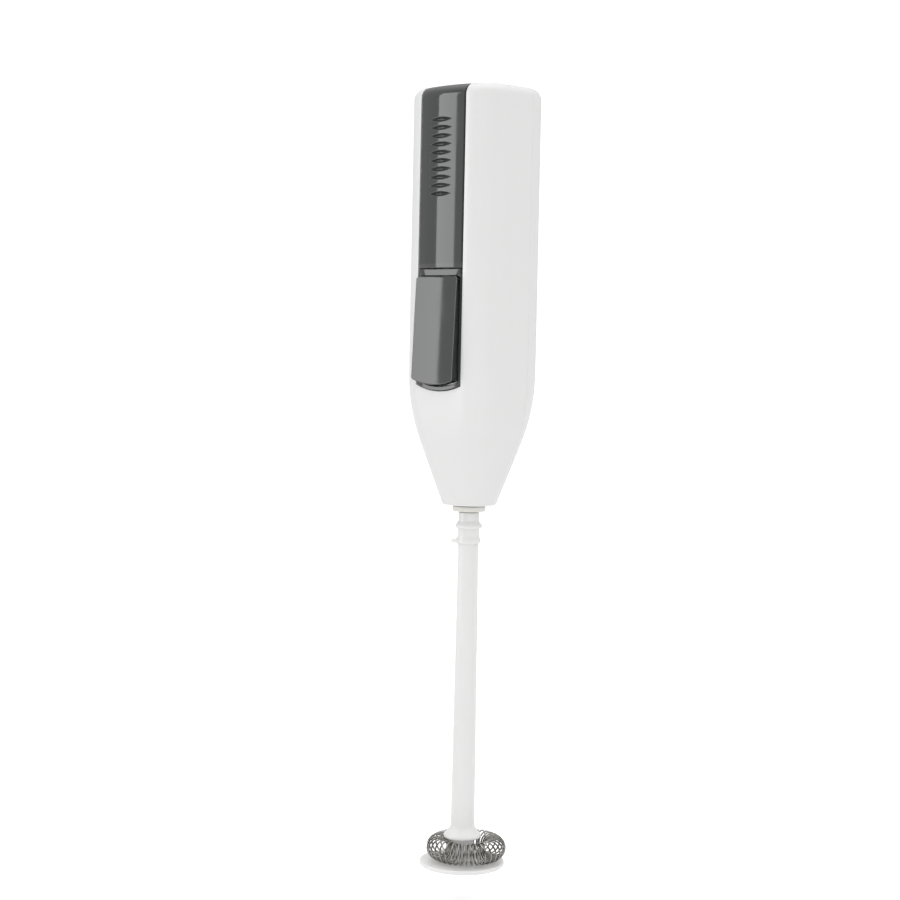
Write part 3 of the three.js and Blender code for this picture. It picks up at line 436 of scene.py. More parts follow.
def turned(profile, sides, centre=(0.0, 0.0), lift=None):
    """A surface of revolution: each (radius, height) of the profile is carried round the Z axis.
    Lift may change the points as a function of (radius, angle, height)."""
    profile = np.asarray(profile, float)
    angle = np.linspace(0, FULL_TURN, sides, endpoint=False)[None, :]
    radius = np.repeat(profile[:, 0:1], sides, axis=1)
    height = np.repeat(profile[:, 1:2], sides, axis=1)
    if lift is not None:
        radius, height = lift(radius, np.repeat(angle, len(profile), axis=0), height)
    points = np.stack(
        [centre[0] + radius * np.cos(angle), centre[1] + radius * np.sin(angle), height], axis=-1
    )
    return points.reshape(-1, 3), grid_faces(len(profile), sides, wrap_columns=True)


LARGEST_SHARE = 0.45


def rounded_profile(corners, radius, steps=4):
    """A profile whose corners are rounded: each inner corner is replaced by a parabola between
    points a radius away along its two sides, or the largest share of a side that is short."""
    corners = np.asarray(corners, float)
    radius = np.broadcast_to(radius, len(corners))
    result = [corners[0]]
    for index in range(1, len(corners) - 1):
        before, corner, after = corners[index - 1:index + 2]
        length_before = np.linalg.norm(before - corner)
        length_after = np.linalg.norm(after - corner)
        reach = min(radius[index], LARGEST_SHARE * length_before, LARGEST_SHARE * length_after)
        start = corner + reach * (before - corner) / length_before
        end = corner + reach * (after - corner) / length_after
        t = np.linspace(0, 1, steps + 1)[:, None]
        result.extend((1 - t) ** 2 * start + 2 * t * (1 - t) * corner + t ** 2 * end)
    result.append(corners[-1])
    return np.array(result)


def block(low, high):
    """A closed box as six joined quads."""
    low = np.asarray(low, float)
    high = np.asarray(high, float)
    pick = np.array([[i, j, k] for i in (0, 1) for j in (0, 1) for k in (0, 1)])
    points = np.where(pick == 1, high, low)
    faces = np.array(
        [[0, 1, 3, 2], [4, 6, 7, 5], [0, 4, 5, 1], [2, 3, 7, 6], [0, 2, 6, 4], [1, 5, 7, 3]]
    )
    return points, faces


def along_x(points, y, z):
    """Points made round the Z axis, turned to lie round the X axis through (y, z)."""
    return np.stack([points[:, 2], y + points[:, 0], z + points[:, 1]], axis=-1)


def finish_piece(piece, body, nodes, slot):
    """Puts the piece on its body, in place of its nodes, with its slot's finish."""
    piece.data.materials.clear()
    piece.data.materials.append(finish_for(slot))
    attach(piece, body)
    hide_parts(*nodes)


def add_piece(name, patches, body, nodes, slot):
    """Makes, shades and finishes a piece from its patches."""
    piece = mesh_object(name, *merge_patches(patches))
    even_shading(piece)
    finish_piece(piece, body, nodes, slot)


# ---------------------------------------------------------------- the handle's form

def section_point(half_width, half_depth, corner, travelled):
    """The point of a rounded rectangle reached from the middle of its front after travelling an
    arc length to the right: half the front, a corner, the side, a corner, half the back. A negative
    length goes to the left."""
    side = np.where(travelled < 0, -1.0, 1.0)
    s = np.abs(travelled)
    flat = half_width - corner
    straight = half_depth - corner
    quarter = corner * math.pi / 2
    first = flat
    second = first + quarter
    third = second + 2 * straight
    fourth = third + quarter
    safe = np.maximum(corner, TINY)
    front_turn = np.clip((s - first) / safe, 0, math.pi / 2)
    back_turn = np.clip((s - third) / safe, 0, math.pi / 2)
    x = np.minimum(s, first)
    x = np.where(s > first, flat + corner * np.sin(front_turn), x)
    x = np.where(s > third, flat + corner * np.cos(back_turn), x)
    x = np.where(s > fourth, flat - (s - fourth), x)
    y = -half_depth + 0 * s
    y = np.where(s > first, -straight - corner * np.cos(front_turn), y)
    y = np.where(s > second, -straight + (s - second), y)
    y = np.where(s > third, straight + corner * np.sin(back_turn), y)
    y = np.where(s > fourth, half_depth, y)
    return side * x, y


def travel_to_depth(half_width, half_depth, corner, depth):
    """The arc length from the middle of the front to where the section's side reaches depth."""
    straight = half_depth - corner
    third = half_width - corner + corner * math.pi / 2 + 2 * straight
    on_side = third - straight + np.minimum(depth, straight)
    turn = np.arcsin(np.clip((depth - straight) / np.maximum(corner, TINY), 0, 1))
    return np.where(depth <= straight, on_side, third + corner * turn)


def travel_to_side(half_width, corner, x):
    """The arc length from the middle of the front to where the front reaches sideways to x."""
    flat = half_width - corner
    turn = np.arcsin(np.clip((x - flat) / np.maximum(corner, TINY), 0, 1))
    return np.where(x <= flat, x, flat + corner * turn)


def growth(h, z):
    """How far the section has grown from the round nose (0) to the full body (1): a straight cone,
    then a parabola into the parallel body."""
    slope = 1 / (h.shoulder - h.nose_end)
    blend_end = h.shoulder + h.shoulder_blend
    cone = slope * (z - h.nose_end)
    blend = 1 - slope * (blend_end - z) ** 2 / (4 * h.shoulder_blend)
    grown = np.where(z <= h.shoulder - h.shoulder_blend, cone, blend)
    return np.where(z >= blend_end, 1.0, grown)


# The nose's corner radius as a share of its radius, and the least corner radius of a section.
NOSE_ROUNDNESS = 0.97
LEAST_CORNER = 0.05 * MM


def section_sizes(h, z, inset):
    """Half width, half depth and corner radius of the handle at height z, moved in by inset."""
    part = growth(h, z)
    half_width = h.nose_radius + (h.width / 2 - h.nose_radius) * part - inset
    half_depth = h.nose_radius + (h.depth / 2 - h.nose_radius) * part - inset
    nose_corner = NOSE_ROUNDNESS * h.nose_radius
    corner = np.maximum(nose_corner + (h.corner_radius - nose_corner) * part - inset, LEAST_CORNER)
    return half_width, half_depth, corner


# Rows of points up the handle: round the nose's rim, up the cone, up the sides, over the top's
# fillet as far as the slot reaches, and over the rest of it.
RIM_ROWS = 6
CONE_ROWS = 40
SIDE_ROWS = 32
SLOT_FILLET_ROWS = 10
REST_FILLET_ROWS = 4
# How much of the wall's thickness the inner fillet's radius is smaller.
FILLET_SHARE = 0.9


def inner_fillet(h, wall):
    """The radius of the top's fillet on the surface that lies a wall inside the outer one."""
    return h.top_fillet - FILLET_SHARE * wall


def handle_rows(h, wall):
    """Heights and insets of the handle's rows from the nose's rim to the edge of the top, for the
    outer surface (wall 0) or the inner one. The rows include the slot's lower corner and the place
    where the slot ends over the top."""
    edge = h.nose_edge
    lift = h.slot_bottom + h.slot_sag
    rim_turn = np.linspace(0, math.pi / 2, RIM_ROWS)
    rim_inset = edge * (1 - np.sin(rim_turn))
    rim = h.nose_end + edge * (1 - np.cos(rim_turn))
    cone = np.linspace(h.nose_end + edge, lift, CONE_ROWS)[1:]
    sides = np.linspace(lift, h.top - h.crown - h.top_fillet, SIDE_ROWS)[1:]
    if wall > 0:
        rim = np.maximum(rim, h.nose_end + h.nose_floor)
        rim_inset = np.zeros_like(rim)
        cone = np.maximum(cone, h.nose_end + h.nose_floor)
    slot_turn = math.acos(1 - (h.slot_back + h.depth / 2) / h.top_fillet)
    turn = np.concatenate([
        np.linspace(0, slot_turn, SLOT_FILLET_ROWS)[1:],
        np.linspace(slot_turn, math.pi / 2, REST_FILLET_ROWS)[1:],
    ])
    radius = inner_fillet(h, wall)
    fillet_base = h.top - h.crown - wall - radius
    fillet_inset = radius * (1 - np.cos(turn))
    fillet = fillet_base + radius * np.sin(turn)
    sides = np.minimum(sides, fillet_base)
    heights = np.concatenate([rim, cone, sides, fillet])
    insets = np.concatenate([rim_inset, 0 * cone, 0 * sides, fillet_inset])
    slot_start = len(rim) + len(cone) - 1
    slot_end = len(rim) + len(cone) + len(sides) + SLOT_FILLET_ROWS - 2
    return heights, insets + wall, slot_start, slot_end


def gauge(half_width, half_depth, corner, x, y):
    """The scale at which a rounded rectangle, shrunk about its middle, passes through (x, y)."""
    across = half_width - corner
    along = half_depth - corner
    p = np.abs(x)
    q = np.abs(y)
    k = across ** 2 + along ** 2 - corner ** 2
    mixed = p * across + q * along
    root = (mixed - np.sqrt(np.maximum(mixed ** 2 - k * (p ** 2 + q ** 2), 0))) / k
    plain = np.maximum(p / half_width, q / half_depth)
    in_corner = (p > root * across) & (q > root * along)
    return np.where(in_corner, root, plain)


def crown_points(h, wall, x, y):
    """Points of the top over (x, y): a dome that rises from the fillet's end as one less the square
    of the gauge."""
    sizes = section_sizes(h, h.top, wall + inner_fillet(h, wall))
    scale = np.minimum(gauge(*sizes, x, y), 1)
    z = h.top - h.crown - wall + h.crown * (1 - scale ** 2)
    return np.stack([x, y, z], axis=-1)


def chord_patch(x, y, depth, rows):
    """A flat fan of points from an arc to its chord: each arc point slides straight to its own point
    of the line y = depth, and those points are evenly spaced."""
    t = (1 - np.cos(np.linspace(0, math.pi, rows)))[:, None] / 2
    chord = np.linspace(x[0], x[-1], len(x))
    return x + (chord - x) * t, y + (depth - y) * t


# Columns of points: half of those across the slot, those on each side, and half of the rear's.
SLOT_HALF_COLUMNS = 14
SIDE_COLUMNS = 26
REAR_HALF_COLUMNS = 32
# Rows of the fans that close the top and the nose.
FRONT_FAN_ROWS = 14
REAR_FAN_ROWS = 10
NOSE_FAN_ROWS = 5
CHORD_COLUMNS = 14
# How far under the slot the columns gather to its width, and the rows bend to its arc.
GATHER_HEIGHT = 12 * MM
BEND_HEIGHT = 7 * MM
BEND_SHARPNESS = 1.5
NOSE_CLEAR = 2 * MM


def front_travel(h, heights, sizes):
    """How far each column of the front shell has travelled round the section, row by row: a fixed
    share of the columns lies across the slot, at the slot's width where the row is near it."""
    half_width, half_depth, corner = sizes
    seam = travel_to_depth(half_width, half_depth, corner, h.front_seam)
    fixed = travel_to_side(half_width, corner, h.slot_half_width)
    full_fixed = travel_to_side(h.width / 2, h.corner_radius, h.slot_half_width)
    full_seam = travel_to_depth(h.width / 2, h.depth / 2, h.corner_radius, h.front_seam)
    ratio = float(full_fixed / full_seam)
    gathered = np.clip((heights[:, None] - h.slot_bottom + GATHER_HEIGHT) / GATHER_HEIGHT, 0, 1)
    split = seam * ratio * (1 - gathered) + fixed * gathered
    centre = np.linspace(-1, 1, 2 * SLOT_HALF_COLUMNS + 1)
    outwards = np.linspace(0, 1, SIDE_COLUMNS + 1)[1:]
    right = split + (seam - split) * outwards[None, :]
    return np.concatenate([-right[:, ::-1], split * centre[None, :], right], axis=1)


def bend_to_slot(h, x, heights, lower_corner):
    """The height of each point, with the rows under the slot lowered towards its middle, so that
    the one at the slot's lower corner follows its arc."""
    arc_radius = (h.slot_half_width ** 2 + h.slot_sag ** 2) / (2 * h.slot_sag)
    reach = np.minimum(np.abs(x), h.slot_half_width)
    droop = h.slot_sag - (arc_radius - np.sqrt(arc_radius ** 2 - reach ** 2))
    rows = heights[:, None]
    below = (rows <= lower_corner + TINY) & (rows > h.nose_end + NOSE_CLEAR)
    bend = np.clip((rows - lower_corner + BEND_HEIGHT) / BEND_HEIGHT, 0, 1)
    return rows - np.where(below, droop * bend ** BEND_SHARPNESS, 0)


def nose_face(h, x, y, height):
    """The nose's lower face, from the bore out to the section (x, y) and the chord between its
    ends."""
    chord = np.linspace(1, -1, CHORD_COLUMNS)[1:-1]
    ring_x = np.concatenate([x, x[-1] * chord])
    ring_y = np.concatenate([y, h.front_seam + 0 * chord])
    turn = np.arctan2(ring_y, ring_x)
    bore_x = h.nose_bore * np.cos(turn)
    bore_y = h.nose_bore * np.sin(turn)
    t = np.linspace(0, 1, NOSE_FAN_ROWS)[:, None]
    points = [bore_x + (ring_x - bore_x) * t, bore_y + (ring_y - bore_y) * t, height + 0 * t * ring_x]
    return np.stack(points, axis=-1)


def top_fan(h, wall, edge, depth, rows):
    """The top, from the fillet's last row to the seam's line."""
    fan_x, fan_y = chord_patch(edge[:, 0], edge[:, 1], depth, rows)
    top = crown_points(h, wall, fan_x, fan_y)
    top[0] = edge
    return top


def front_shell_surface(h, wall):
    """The front shell's outer or inner surface. Rows climb the handle; columns follow the section
    from the left seam round the front to the right seam. The rows below the slot bend to follow its
    arc, and the faces inside the slot are left out. Fans close the top and the nose."""
    heights, insets, slot_start, slot_end = handle_rows(h, wall)
    sizes = section_sizes(h, heights[:, None], insets[:, None])
    x, y = section_point(*sizes, front_travel(h, heights, sizes))
    z = bend_to_slot(h, x, heights, heights[slot_start])
    points = np.stack([x, y, z], axis=-1)
    rows, columns = x.shape
    faces = grid_faces(rows, columns).reshape(rows - 1, columns - 1, 4)
    keep = np.ones((rows - 1, columns - 1), dtype=bool)
    keep[slot_start:slot_end, SIDE_COLUMNS:SIDE_COLUMNS + 2 * SLOT_HALF_COLUMNS] = False
    top = top_fan(h, wall, points[-1], h.front_seam, FRONT_FAN_ROWS)
    nose = nose_face(h, x[0], y[0], heights[0])
    return merge_patches([
        (points, faces[keep]),
        (top, grid_faces(*top.shape[:2])),
        (nose, grid_faces(*nose.shape[:2], wrap_columns=True)),
    ])


def rear_cover_surface(h, wall):
    """The rear cover's outer or inner surface: rows climb the handle, columns follow the section
    from the right seam round the back to the left seam, and fans close the top and the nose."""
    heights, insets, _, _ = handle_rows(h, wall)
    half_width, half_depth, corner = section_sizes(h, heights[:, None], insets[:, None])
    seam = travel_to_depth(half_width, half_depth, corner, h.rear_seam)
    middle = travel_to_depth(half_width, half_depth, corner, half_depth) + half_width - corner
    share_round = np.linspace(0, 1, REAR_HALF_COLUMNS + 1)[None, :]
    right = seam + (middle - seam) * share_round
    travelled = np.concatenate([right, -right[:, -2::-1]], axis=1)
    x, y = section_point(half_width, half_depth, corner, travelled)
    points = np.stack([x, y, np.repeat(heights[:, None], x.shape[1], axis=1)], axis=-1)
    top = top_fan(h, wall, points[-1], h.rear_seam, REAR_FAN_ROWS)
    nose_x, nose_y = chord_patch(x[0], y[0], h.rear_seam, NOSE_FAN_ROWS)
    nose = np.stack([nose_x, nose_y, heights[0] + 0 * nose_x], axis=-1)[::-1]
    return merge_patches([(patch, grid_faces(*patch.shape[:2])) for patch in (points, top, nose)])


# ---------------------------------------------------------------- outlines with one arc

def tongue_loops(half_width, bottom, top, sag, corner, insets, across, up, corner_steps):
    """Loops of a tongue's outline, each moved in by one inset: an arc along the bottom, two straight
    sides, a flat top and rounded corners, all on fixed centres, so that every offset is exact. At an
    inset equal to the corner radius, each corner is one point. Returns x and z, one row per inset."""
    radius = (half_width ** 2 + sag ** 2) / (2 * sag)
    arc_z = bottom + radius
    corner_x = half_width - corner
    drop = math.sqrt((radius - corner) ** 2 - corner_x ** 2)
    corner_z = arc_z - drop
    swing = math.asin(corner_x / (radius - corner))
    inset = np.asarray(insets, float)[:, None]
    spread = np.linspace(-1, 1, across + 1)[None, :]
    arc_x = (radius - inset) * np.sin(swing * spread)
    arc_h = arc_z - (radius - inset) * np.cos(swing * spread)
    low_turn = np.linspace(swing, math.pi / 2, corner_steps + 1)[None, 1:]
    low_x = corner_x + (corner - inset) * np.sin(low_turn)
    low_z = corner_z - (corner - inset) * np.cos(low_turn)
    side_z = np.linspace(corner_z, top - corner, up + 1)[None, 1:] + 0 * inset
    side_x = half_width - inset + 0 * side_z
    high_turn = np.linspace(0, math.pi / 2, corner_steps + 1)[None, 1:]
    high_x = corner_x + (corner - inset) * np.cos(high_turn)
    high_z = top - corner + (corner - inset) * np.sin(high_turn)
    top_x = (corner_x * np.sin(swing * spread) / math.sin(swing))[:, ::-1] + 0 * inset
    top_z = top - inset + 0 * top_x
    x = np.concatenate(
        [arc_x, low_x, side_x, high_x, top_x[:, 1:], -high_x[:, -2::-1], -side_x[:, ::-1],
         inset - half_width, -low_x[:, -2::-1]], axis=1
    )
    z = np.concatenate(
        [arc_h, low_z, side_z, high_z, top_z[:, 1:], high_z[:, -2::-1], side_z[:, ::-1],
         corner_z + 0 * inset, low_z[:, -2::-1]], axis=1
    )
    return x, z


def tongue_middle(half_width, bottom, top, sag, corner, across, up):
    """The grid that fills the loop whose inset is the corner radius: straight columns between its
    arc and its flat top."""
    radius = (half_width ** 2 + sag ** 2) / (2 * sag)
    arc_z = bottom + radius
    swing = math.asin((half_width - corner) / (radius - corner))
    spread = np.linspace(-1, 1, across + 1)[None, :]
    x = (radius - corner) * np.sin(swing * spread)
    low = arc_z - (radius - corner) * np.cos(swing * spread)
    climb = np.linspace(0, 1, up + 1)[:, None]
    z = low + (top - corner - low) * climb
    return x + 0 * climb, z


# ---------------------------------------------------------------- materials

def new_group(name, inputs, outputs):
    """An empty shader node group with named sockets: (name, type, default) and (name, type)."""
    group = bpy.data.node_groups.new(name, "ShaderNodeTree")
    for socket_name, kind, default in inputs:
        socket = group.interface.new_socket(name=socket_name, in_out="INPUT", socket_type=kind)
        if default is not None:
            socket.default_value = default
    for socket_name, kind in outputs:
        group.interface.new_socket(name=socket_name, in_out="OUTPUT", socket_type=kind)
    return group


class Nodes:
    """A short way to add and join nodes in one tree."""

    def __init__(self, tree):
        self.tree = tree

    def add(self, kind, values=None, **settings):
        node = self.tree.nodes.new(kind)
        for key, value in settings.items():
            setattr(node, key, value)
        for key, value in (values or {}).items():
            self.set(node, key, value)
        return node

    def set(self, node, key, value):
        if isinstance(value, bpy.types.NodeSocket):
            self.tree.links.new(value, node.inputs[key])
        else:
            node.inputs[key].default_value = value

    def math(self, operation, first, second=0.0, clamp=False):
        node = self.add("ShaderNodeMath", {0: first, 1: second}, operation=operation, use_clamp=clamp)
        return node.outputs[0]

    def mix(self, factor, first, second):
        node = self.add("ShaderNodeMix", data_type="RGBA")
        self.set(node, 0, factor)
        self.set(node, 6, first)
        self.set(node, 7, second)
        return node.outputs[2]

    def ramp(self, value, low, high):
        """Zero below low, one above high and a smooth step between."""
        node = self.add("ShaderNodeMapRange", interpolation_type="SMOOTHSTEP")
        for key, number in (("Value", value), ("From Min", low), ("From Max", high)):
            self.set(node, key, number)
        return node.outputs[0]


def moulded_grain_group():
    """Fine texture of a moulded surface: a faint orange peel, a finer grain, and long soft flow
    marks. It puts out a height, a tone between 0 and 1, and a change of roughness."""
    group = new_group(
        "Moulded grain",
        [("Vector", "NodeSocketVector", None), ("Peel scale", "NodeSocketFloat", 420.0),
         ("Grain scale", "NodeSocketFloat", 4200.0), ("Grain", "NodeSocketFloat", 0.35)],
        [("Height", "NodeSocketFloat"), ("Tone", "NodeSocketFloat"), ("Roughness", "NodeSocketFloat")],
    )
    n = Nodes(group)
    given = n.add("NodeGroupInput").outputs
    peel = n.add(
        "ShaderNodeTexNoise", {"Vector": given["Vector"], "Scale": given["Peel scale"], "Detail": 2.0}
    )
    grain = n.add(
        "ShaderNodeTexNoise", {"Vector": given["Vector"], "Scale": given["Grain scale"], "Detail": 1.0}
    )
    flow = n.add("ShaderNodeTexNoise", {"Vector": given["Vector"], "Scale": 38.0, "Detail": 3.0})
    fine = n.math("MULTIPLY", grain.outputs["Fac"], given["Grain"])
    height = n.math("ADD", peel.outputs["Fac"], fine)
    rough = n.math("SUBTRACT", flow.outputs["Fac"], 0.5)
    result = n.add("NodeGroupOutput")
    n.set(result, "Height", height)
    n.set(result, "Tone", flow.outputs["Fac"])
    n.set(result, "Roughness", rough)
    return group


def handling_group():
    """Signs of use: hairline scratches in two directions, soft smears from fingers, and dust that
    settles on faces that look up. It puts out a scratch mask, a smear mask and a dust mask."""
    group = new_group(
        "Handling marks",
        [("Vector", "NodeSocketVector", None), ("Amount", "NodeSocketFloat", 0.3)],
        [("Scratches", "NodeSocketFloat"), ("Smears", "NodeSocketFloat"), ("Dust", "NodeSocketFloat")],
    )
    n = Nodes(group)
    given = n.add("NodeGroupInput").outputs
    masks = []
    for turn, stretch in ((0.5, 90.0), (-0.9, 70.0)):
        mapping = n.add("ShaderNodeMapping", {"Vector": given["Vector"]})
        mapping.inputs["Rotation"].default_value = (turn, 0.3 * turn, turn)
        mapping.inputs["Scale"].default_value = (stretch, stretch, 2200.0)
        lines = n.add(
            "ShaderNodeTexNoise",
            {"Vector": mapping.outputs[0], "Scale": 1.0, "Detail": 1.0, "Distortion": 0.3},
        )
        masks.append(n.ramp(lines.outputs["Fac"], 0.70, 0.74))
    both = n.math("MAXIMUM", masks[0], masks[1])
    patches = n.add("ShaderNodeTexNoise", {"Vector": given["Vector"], "Scale": 90.0, "Detail": 2.0})
    sparse = n.math("MULTIPLY", both, n.ramp(patches.outputs["Fac"], 0.5, 0.68))
    smear = n.add(
        "ShaderNodeTexNoise",
        {"Vector": given["Vector"], "Scale": 60.0, "Detail": 4.0, "Distortion": 1.2},
    )
    speck = n.add("ShaderNodeTexNoise", {"Vector": given["Vector"], "Scale": 1600.0, "Detail": 2.0})
    normal = n.add("ShaderNodeNewGeometry").outputs["Normal"]
    up = n.add("ShaderNodeSeparateXYZ", {"Vector": normal}).outputs["Z"]
    settled = n.math("MULTIPLY", n.ramp(up, 0.55, 1.0), n.ramp(speck.outputs["Fac"], 0.56, 0.66))
    result = n.add("NodeGroupOutput")
    n.set(result, "Scratches", n.math("MULTIPLY", sparse, given["Amount"]))
    n.set(result, "Smears", n.math("MULTIPLY", n.ramp(smear.outputs["Fac"], 0.45, 0.7), given["Amount"]))
    n.set(result, "Dust", n.math("MULTIPLY", settled, given["Amount"]))
    return group


def drawn_metal_group():
    """Metal that was drawn, rolled or stamped: fine lines along one direction and a cloudy tone. It
    puts out a height, a tone and a change of roughness."""
    group = new_group(
        "Drawn metal",
        [("Vector", "NodeSocketVector", None), ("Line scale", "NodeSocketFloat", 3000.0)],
        [("Height", "NodeSocketFloat"), ("Tone", "NodeSocketFloat"), ("Roughness", "NodeSocketFloat")],
    )
    n = Nodes(group)
    given = n.add("NodeGroupInput").outputs
    mapping = n.add("ShaderNodeMapping", {"Vector": given["Vector"]})
    mapping.inputs["Scale"].default_value = (1.0, 1.0, 0.04)
    lines = n.add(
        "ShaderNodeTexNoise",
        {"Vector": mapping.outputs[0], "Scale": given["Line scale"], "Detail": 2.0},
    )
    cloud = n.add("ShaderNodeTexNoise", {"Vector": given["Vector"], "Scale": 240.0, "Detail": 3.0})
    result = n.add("NodeGroupOutput")
    n.set(result, "Height", lines.outputs["Fac"])
    n.set(result, "Tone", cloud.outputs["Fac"])
    n.set(result, "Roughness", n.math("SUBTRACT", cloud.outputs["Fac"], 0.5))
    return group


def shared_group(name, make):
    """The node group of that name, made the first time it is asked for."""
    return bpy.data.node_groups.get(name) or make()


def start_material(name):
    """A new node material with its Principled shader and its Object coordinates."""
    material = bpy.data.materials.new(name)
    material.use_nodes = True
    n = Nodes(material.node_tree)
    shader = material.node_tree.nodes["Principled BSDF"]
    place = n.add("ShaderNodeTexCoord").outputs["Object"]
    return material, n, shader, place


def plastic(name, base, roughness, spread=0.06, bump=0.05, peel=420.0, grain=0.35, tint=0.05,
            handling=0.3, dust=(0.72, 0.70, 0.66, 1), fixed=None):
    """A moulded plastic: grain in the normal, a slow drift of tone, smears and scratches in the
    roughness, and dust on faces that look up."""
    existing = bpy.data.materials.get(name)
    if existing:
        return existing
    material, n, shader, place = start_material(name)
    moulded = n.add(
        "ShaderNodeGroup", node_tree=shared_group("Moulded grain", moulded_grain_group)
    )
    for key, value in (("Vector", place), ("Peel scale", peel), ("Grain", grain)):
        n.set(moulded, key, value)
    marks = n.add("ShaderNodeGroup", node_tree=shared_group("Handling marks", handling_group))
    n.set(marks, "Vector", place)
    n.set(marks, "Amount", handling)
    darker = tuple(channel * (1 - tint) for channel in base[:3]) + (1,)
    lighter = tuple(min(channel * (1 + tint), 1) for channel in base[:3]) + (1,)
    tone = n.mix(moulded.outputs["Tone"], darker, lighter)
    dusty = n.mix(n.math("MULTIPLY", marks.outputs["Dust"], 0.5), tone, dust)
    n.set(shader, "Base Color", dusty)
    drift = n.math("MULTIPLY", moulded.outputs["Roughness"], spread)
    smeared = n.math("MULTIPLY", marks.outputs["Smears"], 0.08)
    rough = n.math("ADD", n.math("ADD", drift, roughness), smeared)
    rough = n.math("ADD", rough, n.math("MULTIPLY", marks.outputs["Scratches"], 0.15), clamp=True)
    n.set(shader, "Roughness", rough)
    scratched = n.math("MULTIPLY", marks.outputs["Scratches"], -0.4)
    relief = n.math("ADD", moulded.outputs["Height"], scratched)
    bumped = n.add("ShaderNodeBump", {"Height": relief, "Strength": bump, "Distance": 0.05 * MM})
    n.set(shader, "Normal", bumped.outputs["Normal"])
    for key, value in (fixed or {}).items():
        shader.inputs[key].default_value = value
    return material


def metal(name, base, roughness, line_scale=3000.0, bump=0.08, tint=0.08, fixed=None):
    """A bare metal: fine lines in the normal, a cloudy tone and a cloudy roughness."""
    existing = bpy.data.materials.get(name)
    if existing:
        return existing
    material, n, shader, place = start_material(name)
    drawn = n.add("ShaderNodeGroup", node_tree=shared_group("Drawn metal", drawn_metal_group))
    n.set(drawn, "Vector", place)
    n.set(drawn, "Line scale", line_scale)
    darker = tuple(channel * (1 - tint) for channel in base[:3]) + (1,)
    n.set(shader, "Base Color", n.mix(drawn.outputs["Tone"], darker, base))
    drift = n.math("MULTIPLY", drawn.outputs["Roughness"], 0.2)
    n.set(shader, "Roughness", n.math("ADD", drift, roughness, clamp=True))
    bumped = n.add(
        "ShaderNodeBump", {"Height": drawn.outputs["Height"], "Strength": bump, "Distance": 0.02 * MM}
    )
    n.set(shader, "Normal", bumped.outputs["Normal"])
    shader.inputs["Metallic"].default_value = 1.0
    for key, value in (fixed or {}).items():
        shader.inputs[key].default_value = value
    return material


def cell_material():
    """A battery: a dark sleeve with a lighter band, and bare metal on both ends."""
    existing = bpy.data.materials.get("Cell jacket")
    if existing:
        return existing
    material, n, shader, place = start_material("Cell jacket")
    height = n.add("ShaderNodeSeparateXYZ", {"Vector": place}).outputs["Z"]
    marks = n.add("ShaderNodeGroup", node_tree=shared_group("Handling marks", handling_group))
    n.set(marks, "Vector", place)
    band = n.math("MULTIPLY", n.ramp(height, 0.1782, 0.1784), n.ramp(height, 0.1852, 0.1850))
    sleeve = n.mix(band, (0.035, 0.075, 0.06, 1), (0.42, 0.33, 0.16, 1))
    n.set(shader, "Base Color", n.mix(marks.outputs["Smears"], sleeve, (0.06, 0.09, 0.08, 1)))
    rough = n.math("ADD", 0.3, n.math("MULTIPLY", marks.outputs["Smears"], 0.3))
    n.set(shader, "Roughness", rough)
    bumped = n.add(
        "ShaderNodeBump", {"Height": marks.outputs["Scratches"], "Strength": 0.2, "Distance": 0.02 * MM}
    )
    n.set(shader, "Normal", bumped.outputs["Normal"])
    shader.inputs["Coat Weight"].default_value = 0.4
    return material


# The finish of each slot: its maker, name, base colour (or the setting that holds it), roughness and
# further settings.
FINISHES = {
    "white_shell": (plastic, "White shell", "white_shell", 0.34, {
        "tint": 0.012, "handling": 0.25,
        "fixed": {"Subsurface Weight": 0.08, "Subsurface Radius": (0.6 * MM, 0.5 * MM, 0.4 * MM),
                  "Subsurface Scale": 1.0, "Specular IOR Level": 0.5},
    }),
    "grey_trim": (plastic, "Grey trim", "grey_trim", 0.07, {
        "spread": 0.03, "bump": 0.03, "tint": 0.05, "handling": 0.35, "dust": (0.13, 0.13, 0.125, 1),
        "fixed": {"Specular IOR Level": 0.5},
    }),
    "stem_plastic": (plastic, "Stem plastic", "stem_plastic", 0.3, {
        "tint": 0.015, "bump": 0.04, "handling": 0.2,
        "fixed": {"Subsurface Weight": 0.35, "Subsurface Radius": (1.2 * MM, 1.1 * MM, 1.0 * MM),
                  "Subsurface Scale": 1.0},
    }),
    "nylon": (plastic, "Nylon", "nylon", 0.42, {"tint": 0.03, "bump": 0.08}),
    "inner_plastic": (plastic, "Inner plastic", (0.74, 0.73, 0.70, 1), 0.45, {"bump": 0.1}),
    "switch_board": (plastic, "Switch board", (0.16, 0.085, 0.04, 1), 0.6, {"bump": 0.15}),
    "nickel_steel": (metal, "Nickel plate", (0.68, 0.66, 0.62, 1), 0.22, {}),
    "brass": (metal, "Brass", (0.72, 0.52, 0.20, 1), 0.25, {}),
    "copper": (metal, "Copper", (0.72, 0.32, 0.16, 1), 0.28, {}),
    "motor_steel": (metal, "Zinc plate", (0.58, 0.59, 0.60, 1), 0.3, {}),
    "shaft_steel": (metal, "Ground steel", (0.64, 0.64, 0.64, 1), 0.18, {}),
    "core_steel": (metal, "Laminated steel", (0.32, 0.32, 0.33, 1), 0.45, {"bump": 0.2}),
    "magnet": (plastic, "Ferrite", (0.045, 0.042, 0.04, 1), 0.7, {"bump": 0.2}),
    "red_insulation": (plastic, "Red insulation", (0.45, 0.02, 0.02, 1), 0.4, {}),
    "black_insulation": (plastic, "Black insulation", (0.015, 0.015, 0.015, 1), 0.4, {}),
    "whisk_wire": (metal, "Stainless wire", "wire_steel", 0.1, {"bump": 0.05, "tint": 0.05}),
}


